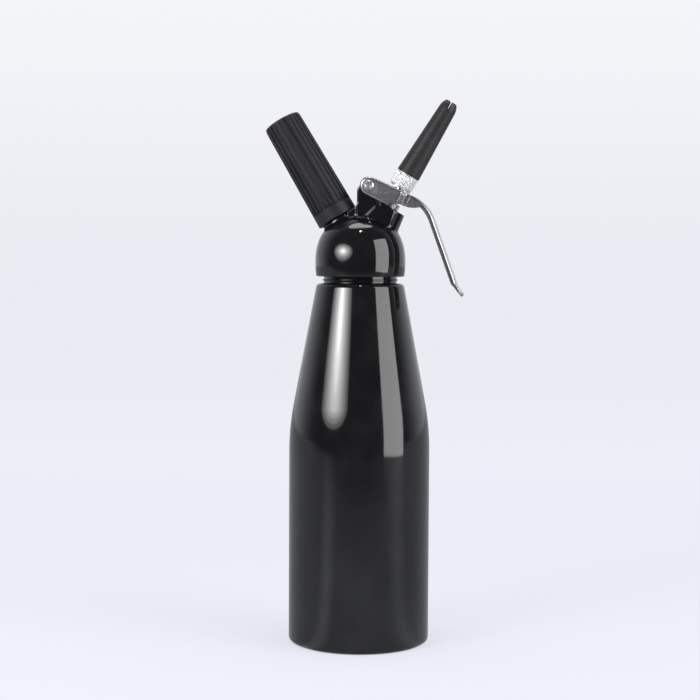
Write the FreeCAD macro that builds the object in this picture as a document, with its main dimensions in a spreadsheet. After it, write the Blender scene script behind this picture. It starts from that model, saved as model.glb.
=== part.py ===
import FreeCAD, Part
import math
import os
import Sketcher

# Whipped cream dispenser: an aluminium bottle with a screw-on head, a charger holder and a lever valve.
# Millimetres, +Z up. The origin is the centre of the circle that the bottle stands on, +X is the lever side.
# Pieces on the valve axis or the charger axis are drawn upright about their own Z, then leaned over with it.

SIZES = {
    # bottle
    "body_radius": 42.5,
    "cone_start_height": 130.1,
    "body_blend": 150.0,
    "shoulder_height": 217.2,
    "shoulder_radius": 26.3,
    "shoulder_round": 3.0,
    "base_round": 3.0,
    "bottle_wall": 1.6,
    "foot_width": 5.0,
    "foot_rise": 3.5,
    "neck_radius": 22.1,
    "neck_wall": 2.1,
    "neck_height": 16.3,
    "neck_bead_proud": 0.7,
    "neck_bead_width": 0.9,
    "neck_bead_height": 1.5,
    # head
    "skirt_gap": 4.0,
    "skirt_radius": 26.5,
    "belly_height": 17.6,
    "belly_radius": 26.25,
    "belly_curve": 46.0,
    "brow_height": 27.2,
    "brow_radius": 22.3,
    "brow_curve": 20.0,
    "crown_height": 36.6,
    "crown_radius": 4.2,
    "crown_curve": 22.0,
    "neck_thread_room": 1.2,
    "gasket_thickness": 2.0,
    "gasket_inset": 3.4,
    "gasket_gap": 0.05,
    "chamber_radius": 18.0,
    "chamber_height": 9.0,
    # ear and lever pin
    "pin_up_valve_length": 38.01,
    "pin_off_valve_length": 15.56,
    "pin_radius": 2.5,
    "pin_head_radius": 3.2,
    "pin_head_thickness": 1.1,
    "pin_head_chamfer": 0.6,
    "pin_tail": 1.8,
    "pin_side_gap": 0.1,
    "ring_thickness": 0.7,
    "ring_radius": 3.7,
    "ring_groove_depth": 0.4,
    "ring_opening": 2.6,
    "ear_radius": 4.6,
    "ear_back_length": 7.3,
    "ear_back_drop": 1.9,
    "ear_foot_height": 25.0,
    "ear_half_width": 10.2,
    "flat_sink": 5.1,
    # valve axis
    "valve_rise_height": 17.5,
    "valve_tilt": 30.94,
    "valve_boss_top": 33.4,
    "valve_boss_radius": 10.8,
    "valve_boss_root": 12.0,
    "valve_boss_draft": 3.2,
    "seat_height": 17.0,
    "seat_pocket_radius": 6.5,
    "seat_pocket_depth": 11.0,
    "stem_radius": 3.1,
    "stem_bore_radius": 1.9,
    "stem_hole_radius": 0.9,
    "stem_hole_height": 1.2,
    "stem_play": 0.05,
    "stem_guide": 2.5,
    "o_ring_width": 1.8,
    "o_ring_groove": 1.8,
    "washer_thickness": 0.8,
    "spring_length": 6.3,
    "spring_wire": 0.7,
    "spring_turns": 3.0,
    "spring_play": 0.5,
    "spring_room": 2.1,
    "collar_thickness": 1.0,
    "collar_radius": 4.4,
    "collar_gap": 0.6,
    "gland_shoulder": 5.8,
    "gland_proud": 3.2,
    "gland_chamfer": 0.5,
    "poppet_radius": 5.4,
    "poppet_thickness": 2.0,
    "poppet_seal_thickness": 1.6,
    "disc_top": 42.5,
    "disc_thickness": 1.6,
    "disc_radius": 5.8,
    # nozzle
    "flange_bottom": 46.0,
    "flange_thickness": 0.6,
    "flange_inset": 0.1,
    "spigot_top": 53.0,
    "spigot_radius": 5.0,
    "stem_end_gap": 0.5,
    "collar_foot_gap": 0.2,
    "knurl_radius": 7.0,
    "knurl_height": 8.7,
    "tip_thread_play": 0.1,
    "tip_socket_radius": 6.0,
    "tip_socket_depth": 2.3,
    "tip_seal_thickness": 1.0,
    "tip_seal_gap": 0.05,
    "tip_base_radius": 7.35,
    "tip_neck_radius": 5.3,
    "tip_length": 50.0,
    "tip_nose": 5.0,
    "tip_mouth_radius": 3.4,
    "tip_nose_curve": 9.0,
    "tip_wall": 1.6,
    "tip_bore_radius": 4.6,
    "tip_slot_width": 1.2,
    "tip_slot_length": 4.6,
    "tip_slots": 4,
    # charger axis
    "charger_rise_height": 15.8,
    "charger_tilt": 30.67,
    "charger_boss_top": 26.8,
    "charger_boss_radius": 10.4,
    "charger_boss_root": 12.0,
    "charger_thread_top": 38.0,
    "charger_thread_radius": 9.6,
    "nose_room_radius": 7.7,
    "inlet_floor": 21.0,
    "inlet_radius": 5.0,
    "inlet_height": 6.0,
    "inlet_stub_radius": 2.2,
    "inlet_stub_length": 4.5,
    "inlet_gas_radius": 0.8,
    "sleeve_thickness": 0.9,
    "sleeve_length": 3.8,
    "sleeve_gap": 0.4,
    "sleeve_room_radius": 3.8,
    "sleeve_room_depth": 9.0,
    "needle_radius": 1.2,
    "needle_bore_radius": 0.5,
    "needle_depth": 4.5,
    "needle_reach": 2.5,
    "needle_point": 1.2,
    "seal_thickness": 1.9,
    "seal_recess": 1.0,
    "seal_radius": 4.4,
    "seal_play": 0.1,
    "bulb_gap": 0.1,
    "bulb_length": 65.0,
    "bulb_radius": 9.0,
    "bulb_neck_radius": 4.4,
    "bulb_neck_length": 6.0,
    "bulb_shoulder_length": 9.5,
    "bulb_shoulder_curve": 12.0,
    "bulb_end_round": 5.5,
    "bulb_wall": 1.5,
    "bulb_hole_radius": 1.3,
    # charger holder
    "holder_rim_gap": 0.2,
    "holder_length": 67.3,
    "holder_base_radius": 12.7,
    "holder_top_radius": 11.7,
    "holder_band": 7.3,
    "holder_cap_rise": 1.3,
    "holder_room": 0.3,
    "rib_depth": 0.6,
    "rib_width": 1.7,
    "rib_count": 22,
    "insert_thickness": 0.9,
    "insert_height": 8.4,
    "insert_inset": 0.6,
    "insert_play": 0.15,
    "thread_end_gap": 0.4,
    "rib_run_out": 0.4,
    # lever
    "lever_sheet_thickness": 1.8,
    "lever_play": 0.4,
    "pin_play": 0.06,
    "fold_radius": 1.6,
    "web_slope": 24.9,
    "web_over_pin_height": 5.5,
    "web_start_length": 6.6,
    "web_corner_length": 35.9,
    "arm_slope": 70.2,
    "arm_bend_radius": 25.0,
    "arm_length": 53.0,
    "arm_half_width": 7.5,
    "arm_flange_height": 3.1,
    "cheek_length": 19.0,
    "cheek_taper_length": 6.0,
    "cheek_drop_height": 0.6,
    "cheek_end_length": 13.5,
    "cheek_end_radius": 11.0,
    "cheek_step_length": 23.0,
    "cheek_step_height": -2.2,
    "cheek_hollow_radius": 14.0,
    "cheek_rim_angle": 17.0,
    "tip_flare": 18.0,
    "tip_corner_radius": 5.0,
    "flare_length": 6.0,
    "web_hole_radius": 4.5,
}

TURN = 360.0
LEAST_CHANGE = 1e-6
SAME_PLACE = 1e-3
# A cutting tool is this many times as long as what it goes through
THROUGH = 3.0

document = FreeCAD.newDocument("cream_dispenser")
sheet = document.addObject("Spreadsheet::Sheet", "Sizes")


class Size:
    """A length or count that knows its value and the formula that ties it to the sheet."""

    def __init__(self, value, formula):
        self.value = value
        self.formula = formula

    def join(self, other, sign, result):
        right = other if isinstance(other, Size) else Size(other, repr(float(other)))
        return Size(result(self.value, right.value), f"({self.formula} {sign} {right.formula})")

    def __add__(self, other):
        return self.join(other, "+", lambda a, b: a + b)

    def __sub__(self, other):
        return self.join(other, "-", lambda a, b: a - b)

    def __mul__(self, other):
        return self.join(other, "*", lambda a, b: a * b)

    def __truediv__(self, other):
        return self.join(other, "/", lambda a, b: a / b)

    def __neg__(self):
        return self * -1.0

    def cos(self):
        return Size(math.cos(math.radians(self.value)), f"cos({self.formula} * 1 deg)")

    def sin(self):
        return Size(math.sin(math.radians(self.value)), f"sin({self.formula} * 1 deg)")

    def tan(self):
        return Size(math.tan(math.radians(self.value)), f"tan({self.formula} * 1 deg)")


ZERO = Size(0.0, "0")
size = {}
for row, (word, number) in enumerate(SIZES.items(), start=1):
    sheet.set(f"A{row}", word)
    sheet.set(f"B{row}", str(number))
    sheet.setAlias(f"B{row}", word)
    size[word] = Size(number, f"Sizes.{word}")
document.recompute()


def plane_of(body, role):
    """The origin plane of a body, found by its role."""
    return next(f for f in body.Origin.OriginFeatures if f.Role == role)


def new_body(name):
    body = document.addObject("PartDesign::Body", name)
    body.Label = name
    return body


def new_sketch(body, name, role="XZ_Plane", lean=None, lift=None):
    """A sketch on a plane of the body, turned about the plane's normal by lean and moved up it by lift."""
    sketch = body.newObject("Sketcher::SketchObject", name)
    sketch.AttachmentSupport = [(plane_of(body, role), "")]
    sketch.MapMode = "FlatFace"
    if lean is not None:
        towards = -1.0 if lean.value > 0 else 1.0
        turn = FreeCAD.Rotation(FreeCAD.Vector(0, 0, towards), abs(lean.value))
        sketch.AttachmentOffset = FreeCAD.Placement(FreeCAD.Vector(0, 0, 0), turn)
        angle = lean if lean.value > 0 else -lean
        sketch.setExpression("AttachmentOffset.Rotation.Angle", angle.formula)
    if lift is not None:
        sketch.setExpression("AttachmentOffset.Base.y", lift.formula)
    return sketch


def hold(sketch, kind, item, point, length):
    """Fixes one coordinate of a sketch point to a formula."""
    axis_line = -2 if kind == "DistanceX" else -1
    if length.formula == "0":
        sketch.addConstraint(Sketcher.Constraint("PointOnObject", item, point, axis_line))
        return
    ends = (-1, 1, item, point) if length.value >= 0 else (item, point, -1, 1)
    number = sketch.addConstraint(Sketcher.Constraint(kind, *ends, abs(length.value)))
    bound = length if length.value >= 0 else -length
    sketch.setExpression(f"Constraints[{number}]", bound.formula)


def arc_between(start, end, radius, side):
    """A circular arc from start to end. A side of 1 bulges to the left of the way, -1 to the right."""
    chord = end - start
    half = chord.Length / 2
    normal = FreeCAD.Vector(-chord.y, chord.x, 0).normalize()
    rise = radius - math.sqrt(radius * radius - half * half)
    middle = start + chord * 0.5 + normal * (rise * side)
    return Part.Arc(start, middle, end)


def draw_outline(sketch, corners):
    """A closed outline. A corner is (x, y), or (x, y, radius, side) where an arc leads to it."""
    places = [FreeCAD.Vector(c[0].value, c[1].value, 0) for c in corners]
    edges = []
    for k, corner in enumerate(corners):
        start = places[k - 1]
        if len(corner) == 2:
            edges.append((sketch.addGeometry(Part.LineSegment(start, places[k]), False), 1, 2))
            continue
        radius, side = corner[2], corner[3]
        arc = sketch.addGeometry(arc_between(start, places[k], radius.value, side), False)
        number = sketch.addConstraint(Sketcher.Constraint("Radius", arc, radius.value))
        sketch.setExpression(f"Constraints[{number}]", radius.formula)
        edges.append((arc, 2, 1) if side > 0 else (arc, 1, 2))
    for k, (item, _first, last) in enumerate(edges):
        following, first, _last = edges[(k + 1) % len(edges)]
        sketch.addConstraint(Sketcher.Constraint("Coincident", item, last, following, first))
        hold(sketch, "DistanceX", item, last, corners[k][0])
        hold(sketch, "DistanceY", item, last, corners[k][1])


def draw_circle(sketch, x, y, radius):
    circle = Part.Circle(FreeCAD.Vector(x.value, y.value, 0), FreeCAD.Vector(0, 0, 1), radius.value)
    item = sketch.addGeometry(circle, False)
    hold(sketch, "DistanceX", item, 3, x)
    hold(sketch, "DistanceY", item, 3, y)
    number = sketch.addConstraint(Sketcher.Constraint("Radius", item, radius.value))
    sketch.setExpression(f"Constraints[{number}]", radius.formula)


def spin(body, name, kind, corners, lean=None, lift=None):
    """Turns an outline right round the sketch's own Y axis, adding or cutting away."""
    sketch = new_sketch(body, f"{name}_outline", lean=lean, lift=lift)
    draw_outline(sketch, corners)
    document.recompute()
    before = body.Shape.Volume if body.Tip and not body.Shape.isNull() else 0.0
    feature = body.newObject(f"PartDesign::{kind}", name)
    feature.Profile = sketch
    feature.ReferenceAxis = (sketch, ["V_Axis"])
    feature.Angle = TURN
    document.recompute()
    compare(feature, body, before, kind in ("Revolution", "Pad"))
    return feature


def compare(feature, body, before, adds):
    """Stops the build where a feature added or cut nothing."""
    change = body.Shape.Volume - before
    if abs(change) < LEAST_CHANGE or (change > 0) != adds:
        raise RuntimeError(f"{feature.Name} changed the volume by {change:.3f}")


def push(body, name, kind, sketch, length):
    """Pads or pockets a sketch by the same length to both sides."""
    document.recompute()
    before = body.Shape.Volume if body.Tip and not body.Shape.isNull() else 0.0
    feature = body.newObject(f"PartDesign::{kind}", name)
    feature.Profile = sketch
    feature.setExpression("Length", length.formula)
    feature.Midplane = True
    document.recompute()
    compare(feature, body, before, kind == "Pad")
    return feature


def push_one_way(body, name, sketch, length):
    """Pockets a sketch to one side, towards +X."""
    document.recompute()
    before = body.Shape.Volume
    feature = body.newObject("PartDesign::Pocket", name)
    feature.Profile = sketch
    feature.setExpression("Length", length.formula)
    feature.Reversed = True
    document.recompute()
    compare(feature, body, before, False)
    return feature


def repeat(body, name, feature, count):
    """A ring of copies of one feature about the body's own Z."""
    before = body.Shape.Volume
    ring = body.newObject("PartDesign::PolarPattern", name)
    ring.Originals = [feature]
    ring.Axis = (plane_of(body, "Z_Axis"), [""])
    ring.Angle = TURN
    ring.setExpression("Occurrences", count.formula)
    body.Tip = ring
    document.recompute()
    if abs(body.Shape.Volume - before) < LEAST_CHANGE:
        raise RuntimeError(f"{name} repeated nothing")
    return ring


def rims(shape, places, slack=0.02):
    """Names of the circular edges about Z that lie at the given (radius, height) places."""
    found = []
    for k, edge in enumerate(shape.Edges, start=1):
        if not hasattr(edge.Curve, "Radius"):
            continue
        centre = edge.Curve.Center
        for radius, height in places:
            off = (centre.x, centre.y, edge.Curve.Radius - radius.value, centre.z - height.value)
            if max(abs(part) for part in off) < slack:
                found.append(f"Edge{k}")
    if len(found) < len(places):
        raise RuntimeError(f"{len(found)} rims found for {len(places)} places")
    return found


def soften(body, name, kind, places, amount):
    """A fillet or chamfer on the rims at the given places."""
    base = body.Tip
    feature = body.newObject(f"PartDesign::{kind}", name)
    feature.Base = (base, rims(base.Shape, places))
    feature.setExpression("Radius" if kind == "Fillet" else "Size", amount.formula)
    document.recompute()
    return feature


def lean_over(piece, base, tilt, towards):
    """Stands a piece on the upright axis at a height and leans it in the XZ plane."""
    turn = FreeCAD.Rotation(FreeCAD.Vector(0, towards, 0), tilt.value)
    piece.Placement = FreeCAD.Placement(FreeCAD.Vector(0, 0, base.value), turn)
    piece.setExpression("Placement.Base.z", base.formula)
    piece.setExpression("Placement.Rotation.Angle", tilt.formula)


def on_valve_axis(piece):
    lean_over(piece, valve_base, size["valve_tilt"], 1)


def on_charger_axis(piece):
    lean_over(piece, charger_base, size["charger_tilt"], -1)


def ring_piece(name, inner, outer, low, high):
    """A plain turned ring or bush."""
    body = new_body(name)
    corners = [(inner, low), (outer, low), (outer, high), (inner, high)]
    spin(body, f"{name}_turned", "Revolution", corners)
    return body


# Heights and radii that several pieces share
neck_top = size["shoulder_height"] + size["neck_height"]
neck_bore = size["neck_radius"] - size["neck_wall"]
skirt_bottom = size["shoulder_height"] + size["skirt_gap"]
skirt_bore = size["neck_radius"] + size["neck_thread_room"]
gasket_low = neck_top + size["gasket_gap"]
gasket_high = gasket_low + size["gasket_thickness"]
chamber_top = gasket_high + size["chamber_height"]
guide_top = size["seat_height"] + size["stem_guide"]
washer_low = guide_top + size["o_ring_width"]
spring_low = washer_low + size["washer_thickness"]
spring_high = spring_low + size["spring_length"]
collar_high = spring_high + size["collar_thickness"]
gland_low = collar_high + size["collar_gap"]
gland_high = size["valve_boss_top"] + size["gland_proud"]
stem_room = size["stem_radius"] + size["stem_play"]
spring_chamber = size["stem_radius"] + size["spring_room"]
spigot_low = size["flange_bottom"] + size["flange_thickness"]
knurl_low = spigot_low + size["collar_foot_gap"]
knurl_high = knurl_low + size["knurl_height"]
socket_low = knurl_high - size["tip_socket_depth"]
seal_low = size["spigot_top"] + size["tip_seal_gap"]
seal_high = seal_low + size["tip_seal_thickness"]
inlet_top = size["inlet_floor"] + size["inlet_height"]
charger_seal_low = inlet_top - size["seal_recess"]
charger_seal_high = charger_seal_low + size["seal_thickness"]
bulb_low = charger_seal_high + size["bulb_gap"]
bulb_high = bulb_low + size["bulb_length"]
holder_low = size["charger_boss_top"] + size["holder_rim_gap"]
holder_high = holder_low + size["holder_length"]
insert_low = holder_low + size["insert_inset"]
insert_high = insert_low + size["insert_height"]
insert_bore = size["charger_thread_radius"] + size["insert_play"]
insert_outer = insert_bore + size["insert_thickness"]
valve_base = size["shoulder_height"] + size["valve_rise_height"]
charger_base = size["shoulder_height"] + size["charger_rise_height"]
pin_up, pin_off = size["pin_up_valve_length"], size["pin_off_valve_length"]
pin_reach = pin_up * size["valve_tilt"].sin() - pin_off * size["valve_tilt"].cos()
pin_height = valve_base + pin_up * size["valve_tilt"].cos() + pin_off * size["valve_tilt"].sin()
lever_inner = size["ear_half_width"] + size["lever_play"]
lever_outer = lever_inner + size["lever_sheet_thickness"]


def make_bottle():
    """One spun and drawn aluminium shell: foot ring, straight body, coned shoulder and neck."""
    wall = size["bottle_wall"]
    foot_outer = size["body_radius"] - size["base_round"]
    foot_inner = foot_outer - size["foot_width"]
    slope_top = foot_inner - size["foot_rise"]
    floor_top = size["foot_rise"] + wall
    bead_low = size["shoulder_height"] + size["neck_bead_height"]
    bead_high = bead_low + size["neck_bead_width"]
    bead_radius = size["neck_radius"] + size["neck_bead_proud"]
    body = new_body("bottle")
    spin(
        body,
        "bottle_shell",
        "Revolution",
        [
            (ZERO, size["foot_rise"]),
            (slope_top, size["foot_rise"]),
            (foot_inner, ZERO),
            (size["body_radius"], ZERO),
            (size["body_radius"], size["cone_start_height"]),
            (size["shoulder_radius"], size["shoulder_height"]),
            (size["neck_radius"], size["shoulder_height"]),
            (size["neck_radius"], bead_low),
            (bead_radius, bead_low),
            (bead_radius, bead_high),
            (size["neck_radius"], bead_high),
            (size["neck_radius"], neck_top),
            (neck_bore, neck_top),
            (neck_bore, size["shoulder_height"] - wall),
            (size["shoulder_radius"] - wall, size["shoulder_height"] - wall),
            (size["body_radius"] - wall, size["cone_start_height"]),
            (size["body_radius"] - wall, floor_top),
            (ZERO, floor_top),
        ],
    )
    outer = [(size["body_radius"], size["cone_start_height"])]
    inner = [(size["body_radius"] - wall, size["cone_start_height"])]
    soften(body, "bottle_body_blend", "Fillet", outer + inner, size["body_blend"])
    shoulder = [(size["shoulder_radius"], size["shoulder_height"])]
    soften(body, "bottle_shoulder_round", "Fillet", shoulder, size["shoulder_round"])
    soften(body, "bottle_base_round", "Fillet", [(size["body_radius"], ZERO)], size["base_round"])
    return body


def make_head():
    """The cast head: domed cap, ear for the lever, leaning valve boss and charger boss, all bored out."""
    body = new_body("head")
    spin(
        body,
        "head_dome",
        "Revolution",
        [
            (ZERO, skirt_bottom),
            (size["skirt_radius"], skirt_bottom),
            (size["belly_radius"], skirt_bottom + size["belly_height"], size["belly_curve"], -1),
            (size["brow_radius"], skirt_bottom + size["brow_height"], size["brow_curve"], -1),
            (size["crown_radius"], skirt_bottom + size["crown_height"], size["crown_curve"], -1),
            (ZERO, skirt_bottom + size["crown_height"]),
        ],
    )
    valve_side = {"lean": size["valve_tilt"], "lift": valve_base}
    charger_side = {"lean": -size["charger_tilt"], "lift": charger_base}
    root_radius = size["valve_boss_radius"] + size["valve_boss_draft"]
    spin(
        body,
        "head_valve_boss",
        "Revolution",
        [
            (ZERO, size["valve_boss_root"]),
            (root_radius, size["valve_boss_root"]),
            (size["valve_boss_radius"], size["valve_boss_top"]),
            (ZERO, size["valve_boss_top"]),
        ],
        **valve_side,
    )
    spin(
        body,
        "head_charger_boss",
        "Revolution",
        [
            (ZERO, size["charger_boss_root"]),
            (size["charger_boss_radius"], size["charger_boss_root"]),
            (size["charger_boss_radius"], size["charger_boss_top"]),
            (size["charger_thread_radius"], size["charger_boss_top"]),
            (size["charger_thread_radius"], size["charger_thread_top"]),
            (ZERO, size["charger_thread_top"]),
        ],
        **charger_side,
    )
    ear = new_sketch(body, "head_ear_outline")
    back = pin_reach - size["ear_back_length"]
    foot = pin_height - size["ear_foot_height"]
    front = pin_reach + size["ear_radius"]
    draw_outline(
        ear,
        [
            (back, foot),
            (back, pin_height - size["ear_back_drop"]),
            (pin_reach - size["ear_radius"] * size["web_slope"].cos(),
             pin_height + size["ear_radius"] * size["web_slope"].sin()),
            (pin_reach + size["ear_radius"] * size["web_slope"].sin(),
             pin_height + size["ear_radius"] * size["web_slope"].cos(), size["ear_radius"], 1),
            (front, pin_height, size["ear_radius"], 1),
            (front, foot),
        ],
    )
    push(body, "head_ear", "Pad", ear, size["ear_half_width"] * 2)
    flats = new_sketch(body, "head_flats_outline", role="YZ_Plane")
    trim_low = skirt_bottom + size["crown_height"] - size["flat_sink"]
    trim_high = pin_height + size["ear_foot_height"]
    trim_far = size["ear_half_width"] + size["valve_boss_radius"]
    draw_outline(
        flats,
        [
            (size["ear_half_width"], trim_low),
            (trim_far, trim_low),
            (trim_far, trim_high),
            (size["ear_half_width"], trim_high),
        ],
    )
    flat_cut = pin_reach + size["valve_boss_top"]
    push_one_way(body, "head_flat", flats, flat_cut)
    mirror = body.newObject("PartDesign::Mirrored", "head_flat_pair")
    mirror.Originals = [document.getObject("head_flat")]
    mirror.MirrorPlane = (plane_of(body, "XZ_Plane"), [""])
    body.Tip = mirror
    document.recompute()
    spin(
        body,
        "head_skirt_bore",
        "Groove",
        [
            (ZERO, skirt_bottom - size["skirt_gap"]),
            (skirt_bore, skirt_bottom - size["skirt_gap"]),
            (skirt_bore, gasket_high),
            (size["chamber_radius"], gasket_high),
            (size["chamber_radius"], chamber_top),
            (ZERO, chamber_top),
        ],
    )
    o_ring_outer = size["stem_radius"] + size["o_ring_groove"]
    spin(
        body,
        "head_valve_bore",
        "Groove",
        [
            (ZERO, size["seat_height"] - size["seat_pocket_depth"]),
            (size["seat_pocket_radius"], size["seat_height"] - size["seat_pocket_depth"]),
            (size["seat_pocket_radius"], size["seat_height"]),
            (stem_room, size["seat_height"]),
            (stem_room, guide_top),
            (o_ring_outer, guide_top),
            (o_ring_outer, washer_low),
            (spring_chamber, washer_low),
            (spring_chamber, size["valve_boss_top"]),
            (ZERO, size["valve_boss_top"]),
        ],
        **valve_side,
    )
    spin(
        body,
        "head_inlet_bore",
        "Groove",
        [
            (ZERO, size["inlet_floor"] - size["sleeve_room_depth"]),
            (size["sleeve_room_radius"], size["inlet_floor"] - size["sleeve_room_depth"]),
            (size["sleeve_room_radius"], size["inlet_floor"]),
            (size["inlet_radius"], size["inlet_floor"]),
            (size["inlet_radius"], inlet_top),
            (size["nose_room_radius"], inlet_top),
            (size["nose_room_radius"], size["charger_thread_top"]),
            (ZERO, size["charger_thread_top"]),
        ],
        **charger_side,
    )
    bore = new_sketch(body, "head_pin_bore_outline")
    draw_circle(bore, pin_reach, pin_height, size["pin_radius"])
    push(body, "head_pin_bore", "Pocket", bore, size["ear_half_width"] * THROUGH)
    return body


def make_gasket():
    outer = skirt_bore - size["stem_play"] * 2
    return ring_piece("head_gasket", outer - size["gasket_inset"], outer, gasket_low, gasket_high)


def make_charger_parts():
    """Inlet valve, needle, seal and non-return sleeve in the head, and the gas charger on them."""
    stub_low = size["inlet_floor"] - size["inlet_stub_length"]
    needle_low = inlet_top - size["needle_depth"]
    needle_high = charger_seal_high + size["needle_reach"]
    recess = size["seal_radius"] + size["seal_play"]
    inlet = new_body("inlet_valve_body")
    spin(
        inlet,
        "inlet_turned",
        "Revolution",
        [
            (size["inlet_gas_radius"], stub_low),
            (size["inlet_stub_radius"], stub_low),
            (size["inlet_stub_radius"], size["inlet_floor"]),
            (size["inlet_radius"], size["inlet_floor"]),
            (size["inlet_radius"], inlet_top),
            (recess, inlet_top),
            (recess, charger_seal_low),
            (size["needle_radius"], charger_seal_low),
            (size["needle_radius"], needle_low),
            (size["inlet_gas_radius"], needle_low),
        ],
    )
    needle = new_body("piercing_needle")
    spin(
        needle,
        "needle_turned",
        "Revolution",
        [
            (size["needle_bore_radius"], needle_low),
            (size["needle_radius"], needle_low),
            (size["needle_radius"], needle_high - size["needle_point"]),
            (size["needle_bore_radius"], needle_high),
        ],
    )
    seal_bore = size["needle_radius"] + size["seal_play"]
    seal = ring_piece("charger_seal", seal_bore, size["seal_radius"], charger_seal_low, charger_seal_high)
    sleeve_high = size["inlet_floor"] - size["sleeve_gap"]
    sleeve_low = sleeve_high - size["sleeve_length"]
    sleeve_outer = size["inlet_stub_radius"] + size["sleeve_thickness"]
    sleeve_inner = size["inlet_stub_radius"]
    sleeve = ring_piece("check_valve_sleeve", sleeve_inner, sleeve_outer, sleeve_low, sleeve_high)
    neck_high = bulb_low + size["bulb_neck_length"]
    shoulder_high = neck_high + size["bulb_shoulder_length"]
    inside = size["bulb_radius"] - size["bulb_wall"]
    bulb = new_body("gas_charger")
    spin(
        bulb,
        "charger_turned",
        "Revolution",
        [
            (size["bulb_hole_radius"], bulb_low),
            (size["bulb_neck_radius"], bulb_low),
            (size["bulb_neck_radius"], neck_high),
            (size["bulb_radius"], shoulder_high, size["bulb_shoulder_curve"], -1),
            (size["bulb_radius"], bulb_high),
            (ZERO, bulb_high),
            (ZERO, bulb_high - size["bulb_wall"]),
            (inside, bulb_high - size["bulb_wall"]),
            (inside, shoulder_high),
            (size["bulb_hole_radius"], shoulder_high - inside * 0.5),
        ],
    )
    soften(bulb, "charger_end_round", "Fillet", [(size["bulb_radius"], bulb_high)], size["bulb_end_round"])
    pieces = [inlet, needle, seal, sleeve, bulb]
    for piece in pieces:
        on_charger_axis(piece)
    return pieces


def make_holder():
    """The moulded holder with its ribs, and the threaded metal ring set into its mouth."""
    band_high = holder_low + size["holder_band"]
    draft = (size["holder_base_radius"] - size["holder_top_radius"]) / size["holder_length"]
    band_radius = size["holder_base_radius"] - draft * size["holder_band"]
    root_low = band_radius - size["rib_depth"]
    root_high = size["holder_top_radius"] - size["rib_depth"]
    room = size["bulb_radius"] + size["holder_room"]
    room_high = bulb_high + size["bulb_gap"]
    thread_room_high = size["charger_thread_top"] + size["thread_end_gap"]
    rib_low = band_high - size["rib_depth"]
    rib_high = holder_high - size["rib_run_out"]
    cap_rise = size["holder_cap_rise"]
    cap_curve = (root_high * root_high + cap_rise * cap_rise) / (cap_rise * 2)
    holder = new_body("charger_holder")
    spin(
        holder,
        "holder_moulding",
        "Revolution",
        [
            (insert_outer, holder_low),
            (size["holder_base_radius"], holder_low),
            (band_radius, band_high),
            (root_low, band_high),
            (root_high, holder_high),
            (ZERO, holder_high + cap_rise, cap_curve, -1),
            (ZERO, room_high),
            (room, room_high),
            (room, thread_room_high),
            (insert_outer, thread_room_high),
        ],
    )
    rib = new_sketch(holder, "holder_rib_outline")
    sunk = size["rib_depth"] * 0.5
    draw_outline(
        rib,
        [
            (root_low - sunk, rib_low),
            (band_radius, rib_low),
            (size["holder_top_radius"], rib_high - size["rib_depth"]),
            (root_high, rib_high),
            (root_high - sunk, rib_high),
        ],
    )
    one_rib = push(holder, "holder_rib", "Pad", rib, size["rib_width"])
    repeat(holder, "holder_ribs", one_rib, size["rib_count"])
    insert = ring_piece("holder_insert", insert_bore, insert_outer, insert_low, insert_high)
    for piece in (holder, insert):
        on_charger_axis(piece)
    return [holder, insert]


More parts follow.
